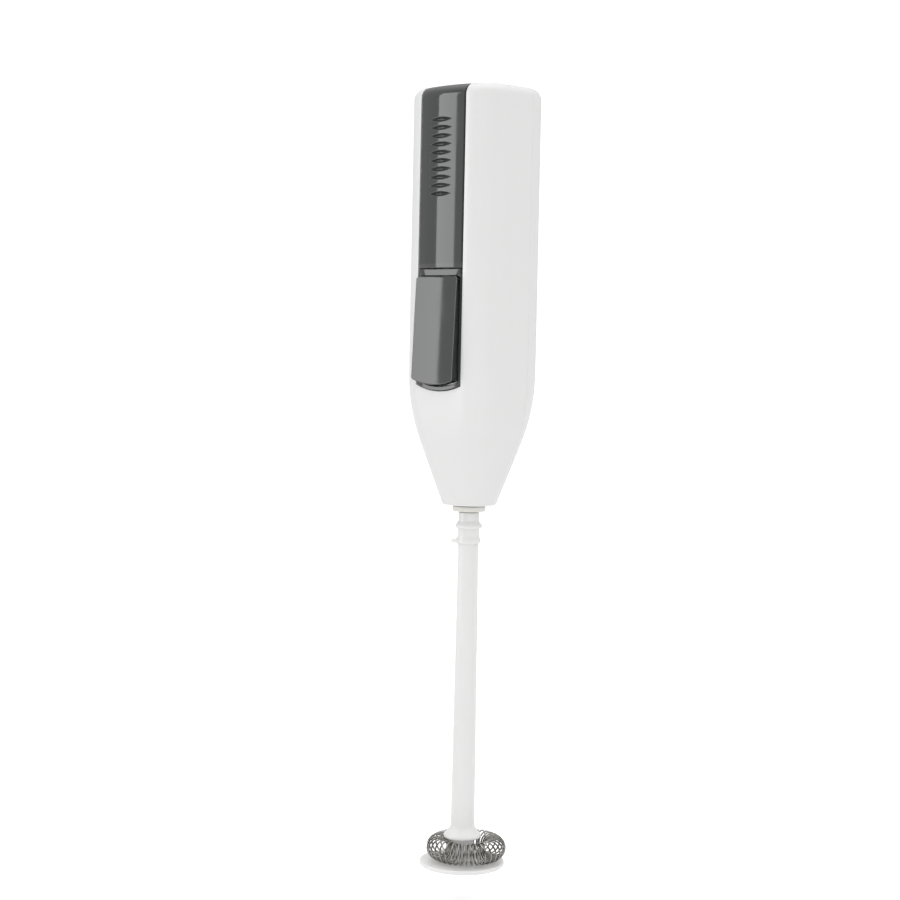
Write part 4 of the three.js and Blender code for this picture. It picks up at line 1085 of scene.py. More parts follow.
def finish_for(slot):
    """The material of one of the record's slots."""
    if slot == "cell_jacket":
        return cell_material()
    make, name, base, roughness, settings = FINISHES[slot]
    if isinstance(base, str):
        base = tuple(getattr(bpy.context.scene.frother_finish, base))
    return make(name, base, roughness, **settings)


# ---------------------------------------------------------------- operators, piece by piece

class BuildHandleShells(bpy.types.Operator):
    """Builds the front shell and the rear cover"""

    bl_idname = "frother.build_handle_shells"
    bl_label = "Handle shells"

    def execute(self, context):
        h = context.scene.frother_handle
        s = context.scene.frother_strip
        makers = {"front_shell": front_shell_surface, "rear_cover": rear_cover_surface}
        for node, make in makers.items():
            outer, faces = make(h, 0.0)
            inner, _ = make(h, h.wall)
            piece = mesh_object(node + "_moulding", *thicken(outer, inner, faces))
            soften(piece, h.edge_round)
            settle(piece)
            if node == "front_shell":
                cut_away(piece, [self.notch(h, s, side) for side in (-1, 1)])
            finish_piece(piece, "handle", [node], "white_shell")
        return {"FINISHED"}

    def notch(self, h, s, side):
        """The block that cuts one rail's notch through the top."""
        clear = h.notch_clearance
        ends = sorted((side * s.rail_inner, side * (s.rail_outer + clear)))
        return block(
            (ends[0], s.rail_front - clear, h.top - h.notch_depth),
            (ends[1], s.rail_back + clear, h.top + h.notch_rise),
        )


class BuildBatteryCover(bpy.types.Operator):
    """Builds the sliding battery cover with its thumb grooves and rails"""

    bl_idname = "frother.build_battery_cover"
    bl_label = "Battery cover"

    def execute(self, context):
        h = context.scene.frother_handle
        s = context.scene.frother_strip
        patches = [battery_cover_surface(h, s)]
        for side in (-1, 1):
            rail = sorted((side * s.rail_inner, side * s.rail_outer))
            web = sorted((side * s.rail_inner, side * (s.half_width - s.web_inset)))
            for ends, front in ((rail, s.rail_front), (web, s.web_front)):
                low = (ends[0], front, s.rail_bottom)
                high = (ends[1], s.rail_back, s.rail_top)
                patches.append(block(low, high))
        add_piece("battery_cover_moulding", patches, "cover", ["battery_cover"], "grey_trim")
        return {"FINISHED"}


# How much the slope of a groove flattens into its floor.
GROOVE_FLATTENING = 0.12


def groove_depth(s, x, z):
    """How deep the thumb grooves are at (x, z): each groove is a lens between two parabolas, with a
    straight slope from its rim down to a narrow rounded floor."""
    index = np.clip(np.round((z - s.groove_first) / s.groove_pitch), 0, s.groove_count - 1)
    offset = np.abs(z - (s.groove_first + s.groove_pitch * index))
    half = s.groove_half_height * np.maximum(1 - (x / s.groove_half_length) ** 2, 0)
    inside = np.clip((half - offset) / s.groove_half_height, 0, 1)
    return s.groove_depth * (inside - GROOVE_FLATTENING * inside ** 4)


# Points round an edge of the cover and across its face; rows below, along and above the grooves and
# over the top's fillet.
EDGE_POINTS = 5
FACE_COLUMNS = 86
LOWER_ROWS = 12
GROOVE_ROWS = 250
UPPER_ROWS = 6
WRAP_ROWS = 15
GROOVE_MARGIN = 1.2 * MM
SIDE_WALL = 1.2 * MM
# How far the sides stay below the lip's face.
SKIRT_GAP = 0.4 * MM


def cover_section(h, s):
    """The cover's cross-section, side to side: an outward arc with rounded edges in front, and the
    depth of its flat back."""
    arc_radius = (s.half_width ** 2 + s.proud ** 2) / (2 * s.proud)
    flat = s.half_width - s.edge
    across = np.linspace(-flat, flat, FACE_COLUMNS)
    turn = np.linspace(math.pi / 2, 0, EDGE_POINTS)[1:]
    right = flat + s.edge * np.cos(turn)
    edge_drop = s.edge * (1 - np.sin(turn))
    x = np.concatenate([-right[::-1], across, right])
    bulge = np.sqrt(arc_radius ** 2 - np.minimum(np.abs(x), s.half_width) ** 2) - arc_radius
    drop = np.concatenate([edge_drop[::-1], 0 * across, edge_drop])
    y = -h.depth / 2 - s.proud - bulge + drop
    back = -h.depth / 2 - s.proud + s.thickness
    sides = np.concatenate([[-s.half_width], x, [s.half_width]])
    return sides, np.concatenate([[back], y, [back]]), back


def cover_heights(h, s):
    """Heights of the cover's rows up to the top's fillet, and how far each row steps back round the
    bottom edge."""
    low = s.groove_first - GROOVE_MARGIN
    high = s.groove_first + (s.groove_count - 1) * s.groove_pitch + GROOVE_MARGIN
    turn = np.linspace(0, math.pi / 2, EDGE_POINTS)
    heights = np.concatenate([
        s.cover_bottom + s.edge * (1 - np.cos(turn)),
        np.linspace(s.cover_bottom + s.edge, low, LOWER_ROWS)[1:],
        np.linspace(low, high, GROOVE_ROWS)[1:],
        np.linspace(high, h.top - h.crown - h.top_fillet, UPPER_ROWS)[1:],
    ])
    step_back = np.zeros_like(heights)
    step_back[:EDGE_POINTS] = s.edge * (1 - np.sin(turn))
    return heights, step_back


def battery_cover_surface(h, s):
    """The cover: its cross-section carried up the body and over the top's fillet. The outer half of
    the section turns through the fillet until it reaches the lip; the inner half rises to a flat
    lip."""
    outer_x, outer_y, inner_y = cover_section(h, s)
    heights, step_back = cover_heights(h, s)
    fillet_base = h.top - h.crown - h.top_fillet
    x = np.repeat(outer_x[None, :], len(heights), axis=0)
    z = np.repeat(heights[:, None], len(outer_x), axis=1)
    y = np.minimum(outer_y[None, :] + groove_depth(s, x, z) + step_back[:, None], inner_y)
    wrap = np.linspace(0, 1, WRAP_ROWS)[1:, None]
    limit = np.clip(1 - (s.lip_back - outer_y) / h.top_fillet, -1, 1)
    last = np.where(outer_y < s.lip_back, np.arccos(limit), 0.0)
    angle = wrap * last[None, :]
    wrapped_y = outer_y[None, :] + h.top_fillet * (1 - np.cos(angle))
    wrapped_z = fillet_base + h.top_fillet * np.sin(angle)
    skirt_z = fillet_base + wrap[:, 0] * (h.top_fillet - SKIRT_GAP)
    for column, neighbour in ((0, 1), (-1, -2)):
        wrapped_y[:, column] = inner_y + (s.lip_back - inner_y) * wrap[:, 0]
        wrapped_z[:, column] = np.minimum(wrapped_z[:, neighbour], skirt_z)
    wrapped_x = np.repeat(outer_x[None, :], len(wrap), axis=0)
    rows = [(x, wrapped_x), (y, wrapped_y), (z, wrapped_z)]
    outer = np.stack([np.concatenate(pair) for pair in rows], axis=-1)
    inner = outer.copy()
    inner[..., 0] *= (s.half_width - SIDE_WALL) / s.half_width
    inner[:len(heights), :, 1] = inner_y
    inner[len(heights):, :, 1] = inner_y + (s.lip_back - inner_y) * wrap
    inner[len(heights):, :, 2] = fillet_base + wrap * (h.top_fillet - h.wall)
    return thicken(outer.reshape(-1, 3), inner.reshape(-1, 3), grid_faces(*outer.shape[:2]))


# The frame's loops: their insets from its outline and from its window, the rounding of those
# outlines' corners, and how far each loop lies behind the face. The first and last are at the back.
FRAME_CORNER = 0.9 * MM
OUTLINE_INSETS = (0.0, 0.04 * MM, 0.15 * MM)
WINDOW_INSETS = (-0.12 * MM, -0.03 * MM, 0.0)
FRAME_ROUNDING = np.array([0, 0.15, 0.04, 0, 0, 0.04, 0.12, 0])[:, None] * MM
FALL_SHARPNESS = 1.5
EAR_SIDES = 32


class BuildButtonFrame(bpy.types.Operator):
    """Builds the frame round the power button"""

    bl_idname = "frother.build_button_frame"
    bl_label = "Button frame"

    def execute(self, context):
        s = context.scene.frother_strip
        b = context.scene.frother_button
        h = context.scene.frother_handle
        counts = {"across": 24, "up": 30, "corner_steps": 6}
        out_x, out_z = tongue_loops(
            s.frame_half_width, s.frame_bottom, s.frame_top, h.slot_sag, FRAME_CORNER,
            OUTLINE_INSETS, **counts
        )
        in_x, in_z = tongue_loops(
            s.window_half_width, s.window_bottom, s.window_top, b.sag, FRAME_CORNER,
            WINDOW_INSETS, **counts
        )
        x = np.concatenate([out_x[[0, 0, 1, 2]], in_x[[0, 1, 2, 2]]])
        z = np.concatenate([out_z[[0, 0, 1, 2]], in_z[[0, 1, 2, 2]]])
        beyond = (np.abs(x) - s.flat_half_width) / (s.frame_half_width - s.flat_half_width)
        fall = np.clip(beyond, 0, 1) ** FALL_SHARPNESS
        depth = s.frame_front + (s.frame_side_front - s.frame_front) * fall + FRAME_ROUNDING
        depth[[0, -1]] = s.frame_back
        points = np.stack([x, depth, z], axis=-1)
        ring = (points, grid_faces(*x.shape, wrap_columns=True, wrap_rows=True))
        ears = [self.ear(s, b, side) for side in (-1, 1)]
        add_piece("button_frame_moulding", [ring] + ears, "handle", ["button_frame"], "grey_trim")
        return {"FINISHED"}

    def ear(self, s, b, side):
        """A block with a round bore along X: for each angle, two points on the bore and two on the
        block's square outline."""
        angle = np.linspace(0, FULL_TURN, EAR_SIDES, endpoint=False) + FULL_TURN / (2 * EAR_SIDES)
        reach_y = np.where(np.cos(angle) < 0, b.hinge_y - s.ear_front, s.ear_back - b.hinge_y)
        outline = np.minimum(
            reach_y / np.abs(np.cos(angle)), s.ear_half_height / np.abs(np.sin(angle))
        )
        low, high = sorted((side * s.ear_inner, side * (s.half_width - s.ear_inset)))
        rings = [(low, s.ear_bore), (low, outline), (high, outline), (high, s.ear_bore)]
        points = np.array([
            [x + 0 * angle, b.hinge_y + radius * np.cos(angle), b.hinge_z + radius * np.sin(angle)]
            for x, radius in rings
        ]).transpose(0, 2, 1)
        return points, grid_faces(len(rings), EAR_SIDES, wrap_columns=True, wrap_rows=True)


class BuildPowerButton(bpy.types.Operator):
    """Builds the power button with its dished face, hollow back and hinge pins"""

    bl_idname = "frother.build_power_button"
    bl_label = "Power button"

    def execute(self, context):
        b = context.scene.frother_button
        patches = [self.shell(b), self.nub(b)] + [self.hinge(b, side) for side in (-1, 1)]
        add_piece("power_button_moulding", patches, "button", ["power_button"], "grey_trim")
        return {"FINISHED"}

    def face_depth(self, b, x, z):
        """The face: a plane that leans out towards its lower end, with a round hollow along it."""
        lean = (b.top_face - b.bottom_face) / (b.top - b.bottom)
        reach = b.half_width - b.edge
        radius = (reach ** 2 + b.dish ** 2) / (2 * b.dish)
        rise = np.sqrt(radius ** 2 - np.minimum(np.abs(x), reach) ** 2) - (radius - b.dish)
        return b.bottom_face + lean * (z - b.bottom) + rise

    def shell(self, b):
        """One closed skin: the face's middle, loops that step out to the rim, the rounded edge, the
        flare's end, the side walls, the back edge, and the inside at the wall's thickness."""
        across, up, corner_steps = 30, 44, 8
        sizes = (b.half_width, b.bottom, b.top, b.sag, b.corner)
        middle_x, middle_z = tongue_middle(*sizes, across, up)
        turn = np.linspace(0, math.pi / 2, 7)[1:]
        face_insets = np.linspace(b.corner, b.edge, 5)
        insets = np.concatenate([face_insets, b.edge * (1 - np.sin(turn))])
        x, z = tongue_loops(*sizes, insets, across, up, corner_steps)
        y = self.face_depth(b, x, z)
        y[len(face_insets):] += (b.edge * (1 - np.cos(turn)))[:, None]
        back_x, back_z = tongue_loops(*sizes, [0.0], across, up, corner_steps)
        share_up = np.clip((back_z - b.relief_bottom + b.relief_blend) / b.relief_blend, 0, 1)
        back_y = b.rim_back + (b.relief_back - b.rim_back) * share_up
        wall_x, wall_z = tongue_loops(*sizes, [b.wall, b.wall], across, up, corner_steps)
        inside = self.face_depth(b, wall_x[1], wall_z[1]) + b.wall
        flare_y = self.face_depth(b, back_x, back_z) + b.flare_depth
        loops = [
            np.stack([x, y, z], axis=-1),
            np.stack([back_x, np.minimum(flare_y, back_y), back_z], axis=-1),
            np.stack([back_x, back_y, back_z], axis=-1),
            np.stack([wall_x[:1], back_y, wall_z[:1]], axis=-1),
            np.stack([wall_x[1:], np.minimum(inside[None, :], back_y), wall_z[1:]], axis=-1),
        ]
        end_x, end_z = tongue_loops(*sizes, [b.corner], across, up, corner_steps)
        end_y = np.minimum(self.face_depth(b, end_x, end_z) + b.wall, back_y)
        loops.append(np.stack([end_x, end_y, end_z], axis=-1))
        rings = np.concatenate(loops)
        front = np.stack([middle_x, self.face_depth(b, middle_x, middle_z), middle_z], axis=-1)
        hidden = front.copy()
        hidden[..., 1] += b.wall
        grid = grid_faces(up + 1, across + 1)
        for points in (front, rings):
            self.widen(b, points)
        return merge_patches([
            (front, grid),
            (rings, grid_faces(*rings.shape[:2], wrap_columns=True)[:, ::-1]),
            (hidden, grid[:, ::-1]),
        ])

    def widen(self, b, points):
        """Stretches the points near the face sideways: most at the face, nothing at the flare's
        depth."""
        behind = points[..., 1] - self.face_depth(b, points[..., 0], points[..., 2])
        part = np.clip(1 - behind / b.flare_depth, 0, 1)
        points[..., 0] *= 1 + part * b.flare / b.half_width

    def nub(self, b):
        """The nub behind the face that presses the contact: a short turned peg along Y."""
        reach = b.nub_reach
        profile = [(0, 0), (b.nub_radius, 0), (b.nub_radius, reach - b.nub_bevel),
                   (b.nub_radius - b.nub_bevel, reach), (0, reach)]
        points, faces = turned(profile, SMALL_SIDES)
        depth = b.nub_back - reach + points[:, 2]
        return np.stack([points[:, 0], depth, b.nub_height - points[:, 1]], axis=-1), faces

    def hinge(self, b, side):
        """A barrel with its pin, turned about the hinge axis, and the neck that carries it."""
        profile = rounded_profile(
            [(0, b.barrel_inner), (b.barrel_radius, b.barrel_inner), (b.barrel_radius, b.barrel_outer),
             (b.pin_radius, b.barrel_outer), (b.pin_radius, b.pin_end), (0, b.pin_end)],
            b.pin_rounding,
        )
        points, faces = turned(profile, SMALL_SIDES)
        points = along_x(points, b.hinge_y, b.hinge_z)
        points[:, 0] *= side
        if side < 0:
            faces = faces[:, ::-1]
        ends = (side * (b.barrel_inner + b.neck_inset), side * (b.barrel_outer - b.neck_inset))
        neck = block(
            (min(ends), b.neck_front, b.hinge_z - b.neck_half_height),
            (max(ends), b.hinge_y, b.hinge_z + b.neck_half_height),
        )
        return merge_patches([(points, faces), neck])


class BuildDriveCoupling(bpy.types.Operator):
    """Builds the coupling between the motor shaft and the stem"""

    bl_idname = "frother.build_drive_coupling"
    bl_label = "Drive coupling"

    def execute(self, context):
        w = context.scene.frother_whisk
        low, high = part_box("drive_coupling")
        collar_top = low.z + w.collar_height
        outside = turned(rounded_profile([
            (w.socket_radius, low.z), (w.collar_radius, low.z), (w.collar_radius, collar_top),
            (w.socket_outer, collar_top), (w.socket_outer, w.step_middle - w.step_half_height),
            (w.shank_outer, w.step_middle + w.step_half_height), (w.shank_outer, high.z),
            (w.shaft_bore, high.z), (w.shaft_bore, w.shaft_low), (0, w.shaft_low),
        ], w.coupling_rounding), LARGE_SIDES)
        socket = turned([
            (0, w.socket_top), (w.socket_radius - w.socket_bevel, w.socket_top),
            (w.socket_radius, w.socket_top - w.socket_bevel), (w.socket_radius, low.z),
        ], LARGE_SIDES)
        piece = mesh_object("drive_coupling_moulding", *merge_patches([outside, socket]))
        soften(piece, w.coupling_edge)
        finish_piece(piece, "rotor", ["drive_coupling"], "nylon")
        return {"FINISHED"}


# Steps along the stem near the lug and elsewhere, where the lug's zone ends, and the most steps in one
# run of the outline.
LUG_STEP = 0.08 * MM
PLAIN_STEP = 2.5 * MM
LUG_ZONE = 1.5 * MM
MOST_STEPS = 40
# The lug's half width as an angle, how pointed it is, how far it hangs below the ring's height, half
# its height, and how far outside the spigot it may swell.
LUG_HALF_ANGLE = 0.42
LUG_POINT = 0.8
LUG_DROP = 0.05 * MM
LUG_HALF_HEIGHT = 0.62 * MM
SPIGOT_MARGIN = 0.5 * MM


class BuildWhiskStem(bpy.types.Operator):
    """Builds the stem with its rings, pointed lug, flange and disc"""

    bl_idname = "frother.build_whisk_stem"
    bl_label = "Whisk stem"

    def execute(self, context):
        w = context.scene.frother_whisk
        surface = turned(self.profile(w), STEM_SIDES, lift=self.lug(w))
        add_piece("whisk_stem_moulding", [surface], "whisk", ["whisk_stem"], "stem_plastic")
        return {"FINISHED"}

    def profile(self, w):
        """The stem's outline from the disc's underside up to the spigot: straight runs with rounded
        corners, wide at the disc, the flange and the two rings. A corner is its radius, its height
        and its rounding in millimetres."""
        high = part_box("whisk_stem")[1].z
        crown = 0.35 * MM
        disc_edge = w.disc_thickness - crown
        corners = [
            (0, 0, 0), (w.disc_radius, 0, 0.5), (w.disc_radius, disc_edge, 0.35),
            (w.hub_radius + 0.1 * MM, w.disc_thickness, 0.5), (w.hub_radius, 6.9 * MM, 0.2),
            (w.flange_radius, 7.15 * MM, 0.25), (w.flange_radius - 0.1 * MM, 7.75 * MM, 0.35),
            (w.foot_radius + 0.9 * MM, 8.7 * MM, 0.6), (w.foot_radius, 9.9 * MM, 0.9),
            (w.foot_radius - 0.02 * MM, 12.0 * MM, 0.5), (w.waist_radius, 81.4 * MM, 0.2),
            (w.waist_radius + 0.02 * MM, w.lower_ring - 0.55 * MM, 0.12),
            (w.lower_ring_radius - 0.04 * MM, w.lower_ring - 0.40 * MM, 0.14),
            (w.lower_ring_radius, w.lower_ring + 0.1 * MM, 0.12),
            (w.mid_radius, w.lower_ring + w.ring_slope, 0.3),
            (w.mid_radius, w.upper_ring - 0.6 * MM, 0.12),
            (w.upper_ring_radius - 0.04 * MM, w.upper_ring - 0.42 * MM, 0.14),
            (w.upper_ring_radius, w.upper_ring + 0.1 * MM, 0.12),
            (w.neck_radius, w.upper_ring + w.ring_slope, 0.3),
            (w.neck_radius, w.stem_top, 0.22), (w.spigot_radius, w.stem_top, 0.1),
            (w.spigot_radius, high - 0.5 * MM, 0.2), (w.spigot_radius - 0.5 * MM, high, 0.2),
            (0, high, 0),
        ]
        places = [corner[:2] for corner in corners]
        radii = np.array([corner[2] for corner in corners]) * MM
        profile = rounded_profile(places, radii)
        runs = []
        for first, second in zip(profile[:-1], profile[1:]):
            gap = np.linalg.norm(second - first)
            near_lug = abs((first[1] + second[1]) / 2 - w.lower_ring) < LUG_ZONE
            steps = int(min(max(gap / (LUG_STEP if near_lug else PLAIN_STEP), 1), MOST_STEPS))
            runs.append(first + (second - first) * np.linspace(0, 1, steps, endpoint=False)[:, None])
        return np.concatenate(runs + [profile[-1:]])

    def lug(self, w):
        """Swells the lower ring into a pointed lug on one side: the radius grows with a narrow
        pointed window of the angle times a thin window of the height."""
        def lift(radius, angle, height):
            aside = np.angle(np.exp(1j * (angle - w.lug_angle)))
            across = np.maximum(1 - np.abs(aside) / LUG_HALF_ANGLE, 0) ** LUG_POINT
            over = np.abs(height - w.lower_ring + LUG_DROP) / LUG_HALF_HEIGHT
            along = np.sqrt(np.maximum(1 - over ** 2, 0))
            swell = (w.lug_reach - w.lower_ring_radius) * across * along
            return radius + np.where(radius > w.spigot_radius + SPIGOT_MARGIN, swell, 0), height
        return lift


# The wire's steps in one turn, its sides, and its thickness where its ends are rounded.
STEPS_PER_TURN = 48
WIRE_SIDES = 10
WIRE_TIP = np.array([0.0, 0.6, 0.95])


class BuildWhiskCoil(bpy.types.Operator):
    """Winds the ring-shaped coil of spring wire"""

    bl_idname = "frother.build_whisk_coil"
    bl_label = "Whisk coil"

    def execute(self, context):
        w = context.scene.frother_whisk
        steps = STEPS_PER_TURN * w.turns
        t = np.linspace(0, 1, steps + 1)
        centre = self.centre_line(w, t)
        ahead = np.gradient(centre, axis=0)
        ahead /= np.linalg.norm(ahead, axis=1, keepdims=True)
        middle = self.ring_line(w, t)
        outwards = centre - middle
        outwards -= ahead * (outwards * ahead).sum(1, keepdims=True)
        outwards /= np.linalg.norm(outwards, axis=1, keepdims=True)
        aside = np.cross(ahead, outwards)
        turn = np.linspace(0, FULL_TURN, WIRE_SIDES, endpoint=False)[None, :, None]
        bands = np.cos(turn) * outwards[:, None] + np.sin(turn) * aside[:, None]
        plain = np.ones(steps + 1 - 2 * len(WIRE_TIP))
        shrink = np.concatenate([WIRE_TIP, plain, WIRE_TIP[::-1]])[:, None, None]
        points = centre[:, None] + w.wire_radius * shrink * bands
        faces = grid_faces(steps + 1, WIRE_SIDES, wrap_columns=True)
        piece = mesh_object("whisk_coil_wire", points.reshape(-1, 3), faces)
        finish_piece(piece, "whisk", ["whisk_coil"], "whisk_wire")
        return {"FINISHED"}

    def ring_angle(self, w, t):
        """The angle round the ring at t, leaving the opening at the lug's side."""
        return w.lug_angle + w.opening / 2 + (FULL_TURN - w.opening) * t

    def ring_line(self, w, t):
        """The ring that the turns are wound round, moved off the axis, away from the lug."""
        around = self.ring_angle(w, t)
        shift = w.lug_angle + math.pi
        x = w.coil_offset * math.cos(shift) + w.coil_ring_radius * np.cos(around)
        y = w.coil_offset * math.sin(shift) + w.coil_ring_radius * np.sin(around)
        return np.stack([x, y, w.coil_height + 0 * t], axis=-1)

    def centre_line(self, w, t):
        """The wire's centre: a helix wound round the ring, its winding angle a whole number of turns
        in one trip, starting on the ring's inner side."""
        around = self.ring_angle(w, t)
        winding = FULL_TURN * w.turns * t
        ring = self.ring_line(w, t)
        inwards = -w.loop_radius * np.cos(winding)
        ring[:, 0] += inwards * np.cos(around)
        ring[:, 1] += inwards * np.sin(around)
        ring[:, 2] += w.loop_radius * np.sin(winding)
        return ring


# A cell's contact and the rims and rings of its two ends.
NIPPLE_RADIUS = 1.9 * MM
NIPPLE_HEIGHT = 0.8 * MM
TOP_SINK = 0.35 * MM
TOP_RIM = 0.9 * MM
RING_OUTER = 0.8 * MM
RING_INNER = 1.2 * MM
RING_DEPTH = 0.15 * MM
BEVEL = 0.1 * MM
NIPPLE_FOOT = 0.3 * MM
CELL_ROUNDING = 0.3 * MM


class BuildBatteryCells(bpy.types.Operator):
    """Builds the two batteries in their bay"""

    bl_idname = "frother.build_battery_cells"
    bl_label = "Battery cells"

    def execute(self, context):
        for node, upright in (("battery_cell_front", True), ("battery_cell_rear", False)):
            low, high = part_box(node)
            centre = ((low.x + high.x) / 2, (low.y + high.y) / 2)
            profile = self.profile((high.x - low.x) / 2, high.z - low.z)
            heights = low.z + profile[:, 1] if upright else high.z - profile[:, 1]
            points, faces = turned(np.stack([profile[:, 0], heights], 1), LARGE_SIDES, centre)
            if not upright:
                faces = faces[:, ::-1]
            add_piece(node + "_detailed", [(points, faces)], "handle", [node], "cell_jacket")
        return {"FINISHED"}

    def profile(self, radius, tall):
        """A cell's outline: a shallow ring in its flat end, the jacket, the rim and the contact."""
        body_top = tall - NIPPLE_HEIGHT
        sunk = body_top - TOP_SINK
        return rounded_profile([
            (0, 0), (radius - RING_INNER, 0), (radius - RING_INNER - BEVEL, RING_DEPTH),
            (radius - RING_OUTER - BEVEL, RING_DEPTH), (radius - RING_OUTER, 0), (radius, 0),
            (radius, body_top), (radius - TOP_RIM, body_top), (radius - TOP_RIM - BEVEL, sunk),
            (NIPPLE_RADIUS + NIPPLE_FOOT, sunk), (NIPPLE_RADIUS, body_top), (NIPPLE_RADIUS, tall),
            (0, tall),
        ], CELL_ROUNDING)


class FinishCarriedParts(bpy.types.Operator):
    """Gives each part that is kept from the frame the finish of its slot"""

    bl_idname = "frother.finish_carried_parts"
    bl_label = "Inner parts' finishes"

    def execute(self, context):
        slots = {part["node"]: part["material_slot"] for part in frame["record"]["subparts"]}
        for name, node in frame["nodes"].items():
            if node.hide_render:
                continue
            if name not in slots:
                raise RuntimeError(f"{name} has no material slot in the record")
            node.data.materials.clear()
            node.data.materials.append(finish_for(slots[name]))
        return {"FINISHED"}


# The floor's first ring, its radius and its rings.
FLOOR_FIRST = 0.03
FLOOR_RADIUS = 8.0
FLOOR_RINGS = 24
# Where the room's near side and its ceiling start and end, as cosines.
NEAR_RANGE = (0.3, 0.95)
CEILING_RANGE = (0.55, 0.9)
BACKDROP = (1.2, 1.2, 1.2, 1)
PANEL_WIDTH = 0.205
PANEL_HEIGHT = 0.55
PANEL_DISTANCE = 0.62
PANEL_MIDDLE = 0.17
PANEL_AIM = 0.15


def grey(value):
    """An even opaque grey."""
    return (value,) * 3 + (1,)


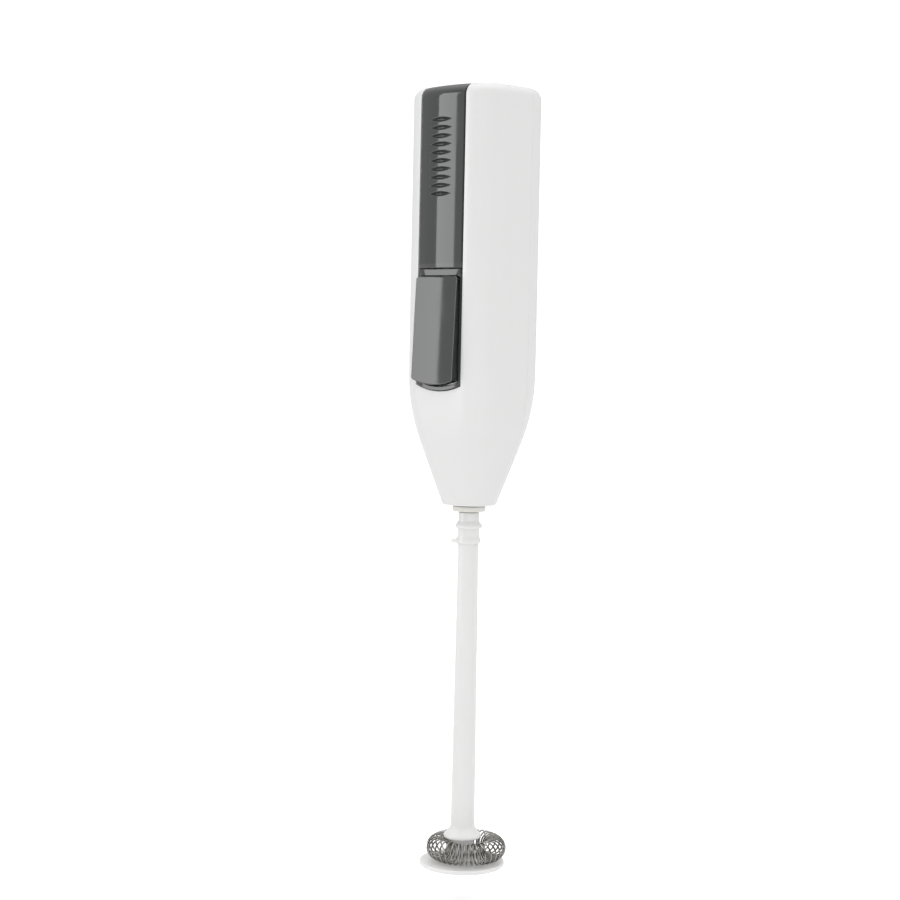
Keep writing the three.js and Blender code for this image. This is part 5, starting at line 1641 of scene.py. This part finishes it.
class SetStage(bpy.types.Operator):
    """Sets the floor, the soft light and the camera"""

    bl_idname = "frother.set_stage"
    bl_label = "Floor, light and camera"

    def execute(self, context):
        stage = context.scene.frother_stage
        self.floor(stage)
        self.world(context, stage)
        self.panel(stage)
        self.camera(context, stage)
        context.scene.view_settings.view_transform = "Standard"
        context.scene.view_settings.look = "None"
        return {"FINISHED"}

    def floor(self, stage):
        """A large flat floor, in rings that grow outwards from the spindle. The camera alone sees it
        lit of its own, which hides most of its shadow."""
        radius = np.concatenate([[0.0], np.geomspace(FLOOR_FIRST, FLOOR_RADIUS, FLOOR_RINGS)])
        profile = np.stack([radius, np.full_like(radius, -stage.floor_drop)], 1)
        points, faces = turned(profile, 48)
        floor = mesh_object("floor", points, faces)
        material, n, shader, place = start_material("Floor")
        cloud = n.add("ShaderNodeTexNoise", {"Vector": place, "Scale": 3.0})
        tone = stage.floor_tone
        pale = n.mix(cloud.outputs["Fac"], grey(tone * 0.995), grey(tone))
        n.set(shader, "Base Color", pale)
        seen = n.add("ShaderNodeLightPath").outputs["Is Camera Ray"]
        n.set(shader, "Emission Color", (1, 1, 1, 1))
        n.set(shader, "Emission Strength", n.math("MULTIPLY", seen, stage.floor_glow))
        shader.inputs["Roughness"].default_value = 0.9
        shader.inputs["Specular IOR Level"].default_value = 0.1
        floor.data.materials.append(material)

    def world(self, context, stage):
        """A white room, brighter on its near side and overhead, with a dim end that only reflections
        show, and a plain white backdrop that only the camera sees."""
        world = bpy.data.worlds.new("Soft white room")
        world.use_nodes = True
        n = Nodes(world.node_tree)
        background = world.node_tree.nodes["Background"]
        direction = n.add("ShaderNodeTexCoord").outputs["Generated"]
        path = n.add("ShaderNodeLightPath").outputs
        near = n.ramp(self.towards(n, direction, stage.near_azimuth), *NEAR_RANGE)
        room = n.mix(near, grey(stage.room_light), grey(stage.near_light))
        height = n.add("ShaderNodeSeparateXYZ", {"Vector": direction}).outputs["Z"]
        room = n.mix(n.ramp(height, *CEILING_RANGE), room, grey(stage.top_light))
        dim = n.ramp(self.towards(n, direction, stage.azimuth), stage.dark_from, stage.dark_to)
        mirrored = n.math("MULTIPLY", dim, path["Is Glossy Ray"])
        room = n.mix(mirrored, room, grey(stage.dark_light))
        n.set(background, "Color", n.mix(path["Is Camera Ray"], room, BACKDROP))
        background.inputs["Strength"].default_value = 1.0
        context.scene.world = world

    def towards(self, n, direction, azimuth):
        """The cosine between a direction and the level direction of an azimuth."""
        level = (math.sin(azimuth), -math.cos(azimuth), 0.0)
        dot = n.add("ShaderNodeVectorMath", {0: direction, 1: level}, operation="DOT_PRODUCT")
        return dot.outputs["Value"]

    def panel(self, stage):
        """One tall soft panel in front of the object, to its left."""
        light = bpy.data.lights.new("Soft panel", "AREA")
        light.shape = "RECTANGLE"
        light.size = PANEL_WIDTH
        light.size_y = PANEL_HEIGHT
        light.energy = stage.panel_light * light.size * light.size_y * math.pi
        panel = bpy.data.objects.new("Soft panel", light)
        panel.visible_diffuse = False
        aside = PANEL_DISTANCE * math.sin(stage.panel_azimuth)
        ahead = PANEL_DISTANCE * math.cos(stage.panel_azimuth)
        place = Vector((aside, -ahead, PANEL_MIDDLE))
        turn = (Vector((0, 0, PANEL_AIM)) - place).to_track_quat("-Z", "Y").to_matrix().to_4x4()
        panel.matrix_world = Matrix.Translation(place) @ turn
        bpy.context.scene.collection.objects.link(panel)

    def camera(self, context, stage):
        """A camera that looks at a point beside the spindle, then leans by its roll."""
        data = bpy.data.cameras.new("Camera")
        data.lens = stage.lens
        data.sensor_width = 36.0
        data.shift_y = stage.lens_drop
        data.clip_start = 0.01
        data.clip_end = 50.0
        camera = bpy.data.objects.new("Camera", data)
        back = Vector((math.sin(stage.azimuth), -math.cos(stage.azimuth), 0))
        right = Vector((math.cos(stage.azimuth), math.sin(stage.azimuth), 0))
        place = back * stage.distance + Vector((0, 0, stage.height))
        aim = Vector((0, 0, stage.aim_height)) - right * stage.aim_aside
        turn = (aim - place).to_track_quat("-Z", "Y").to_matrix().to_4x4()
        camera.matrix_world = Matrix.Translation(place) @ turn @ Matrix.Rotation(stage.roll, 4, "Z")
        context.scene.collection.objects.link(camera)
        context.scene.camera = camera


SETTING_GROUPS = {
    "frother_handle": HandleSettings,
    "frother_strip": StripSettings,
    "frother_button": ButtonSettings,
    "frother_whisk": WhiskSettings,
    "frother_finish": FinishSettings,
    "frother_stage": StageSettings,
}

OPERATORS = (
    SetStage,
    BuildHandleShells,
    BuildBatteryCover,
    BuildButtonFrame,
    BuildPowerButton,
    BuildDriveCoupling,
    BuildWhiskStem,
    BuildWhiskCoil,
    BuildBatteryCells,
    FinishCarriedParts,
)


class FrotherPanel(bpy.types.Panel):
    """Lists the frother's pieces in the sidebar"""

    bl_idname = "VIEW3D_PT_frother"
    bl_label = "Milk frother"
    bl_space_type = "VIEW_3D"
    bl_region_type = "UI"
    bl_category = "Frother"

    def draw(self, context):
        for operator in OPERATORS:
            self.layout.operator(operator.bl_idname)


def register():
    for settings in SETTING_GROUPS.values():
        bpy.utils.register_class(settings)
    for operator in OPERATORS:
        bpy.utils.register_class(operator)
    bpy.utils.register_class(FrotherPanel)
    for name, settings in SETTING_GROUPS.items():
        setattr(bpy.types.Scene, name, PointerProperty(type=settings))


def unregister():
    for name in SETTING_GROUPS:
        delattr(bpy.types.Scene, name)
    bpy.utils.unregister_class(FrotherPanel)
    for operator in reversed(OPERATORS):
        bpy.utils.unregister_class(operator)
    for settings in SETTING_GROUPS.values():
        bpy.utils.unregister_class(settings)


def plain(bounds):
    """A box as plain lists of numbers."""
    return [[float(value) for value in corner] for corner in bounds]


def main():
    """Builds every piece in order."""
    register()
    for operator in OPERATORS:
        family, name = operator.bl_idname.split(".")
        getattr(getattr(bpy.ops, family), name)()


if __name__ == "__main__":
    main()
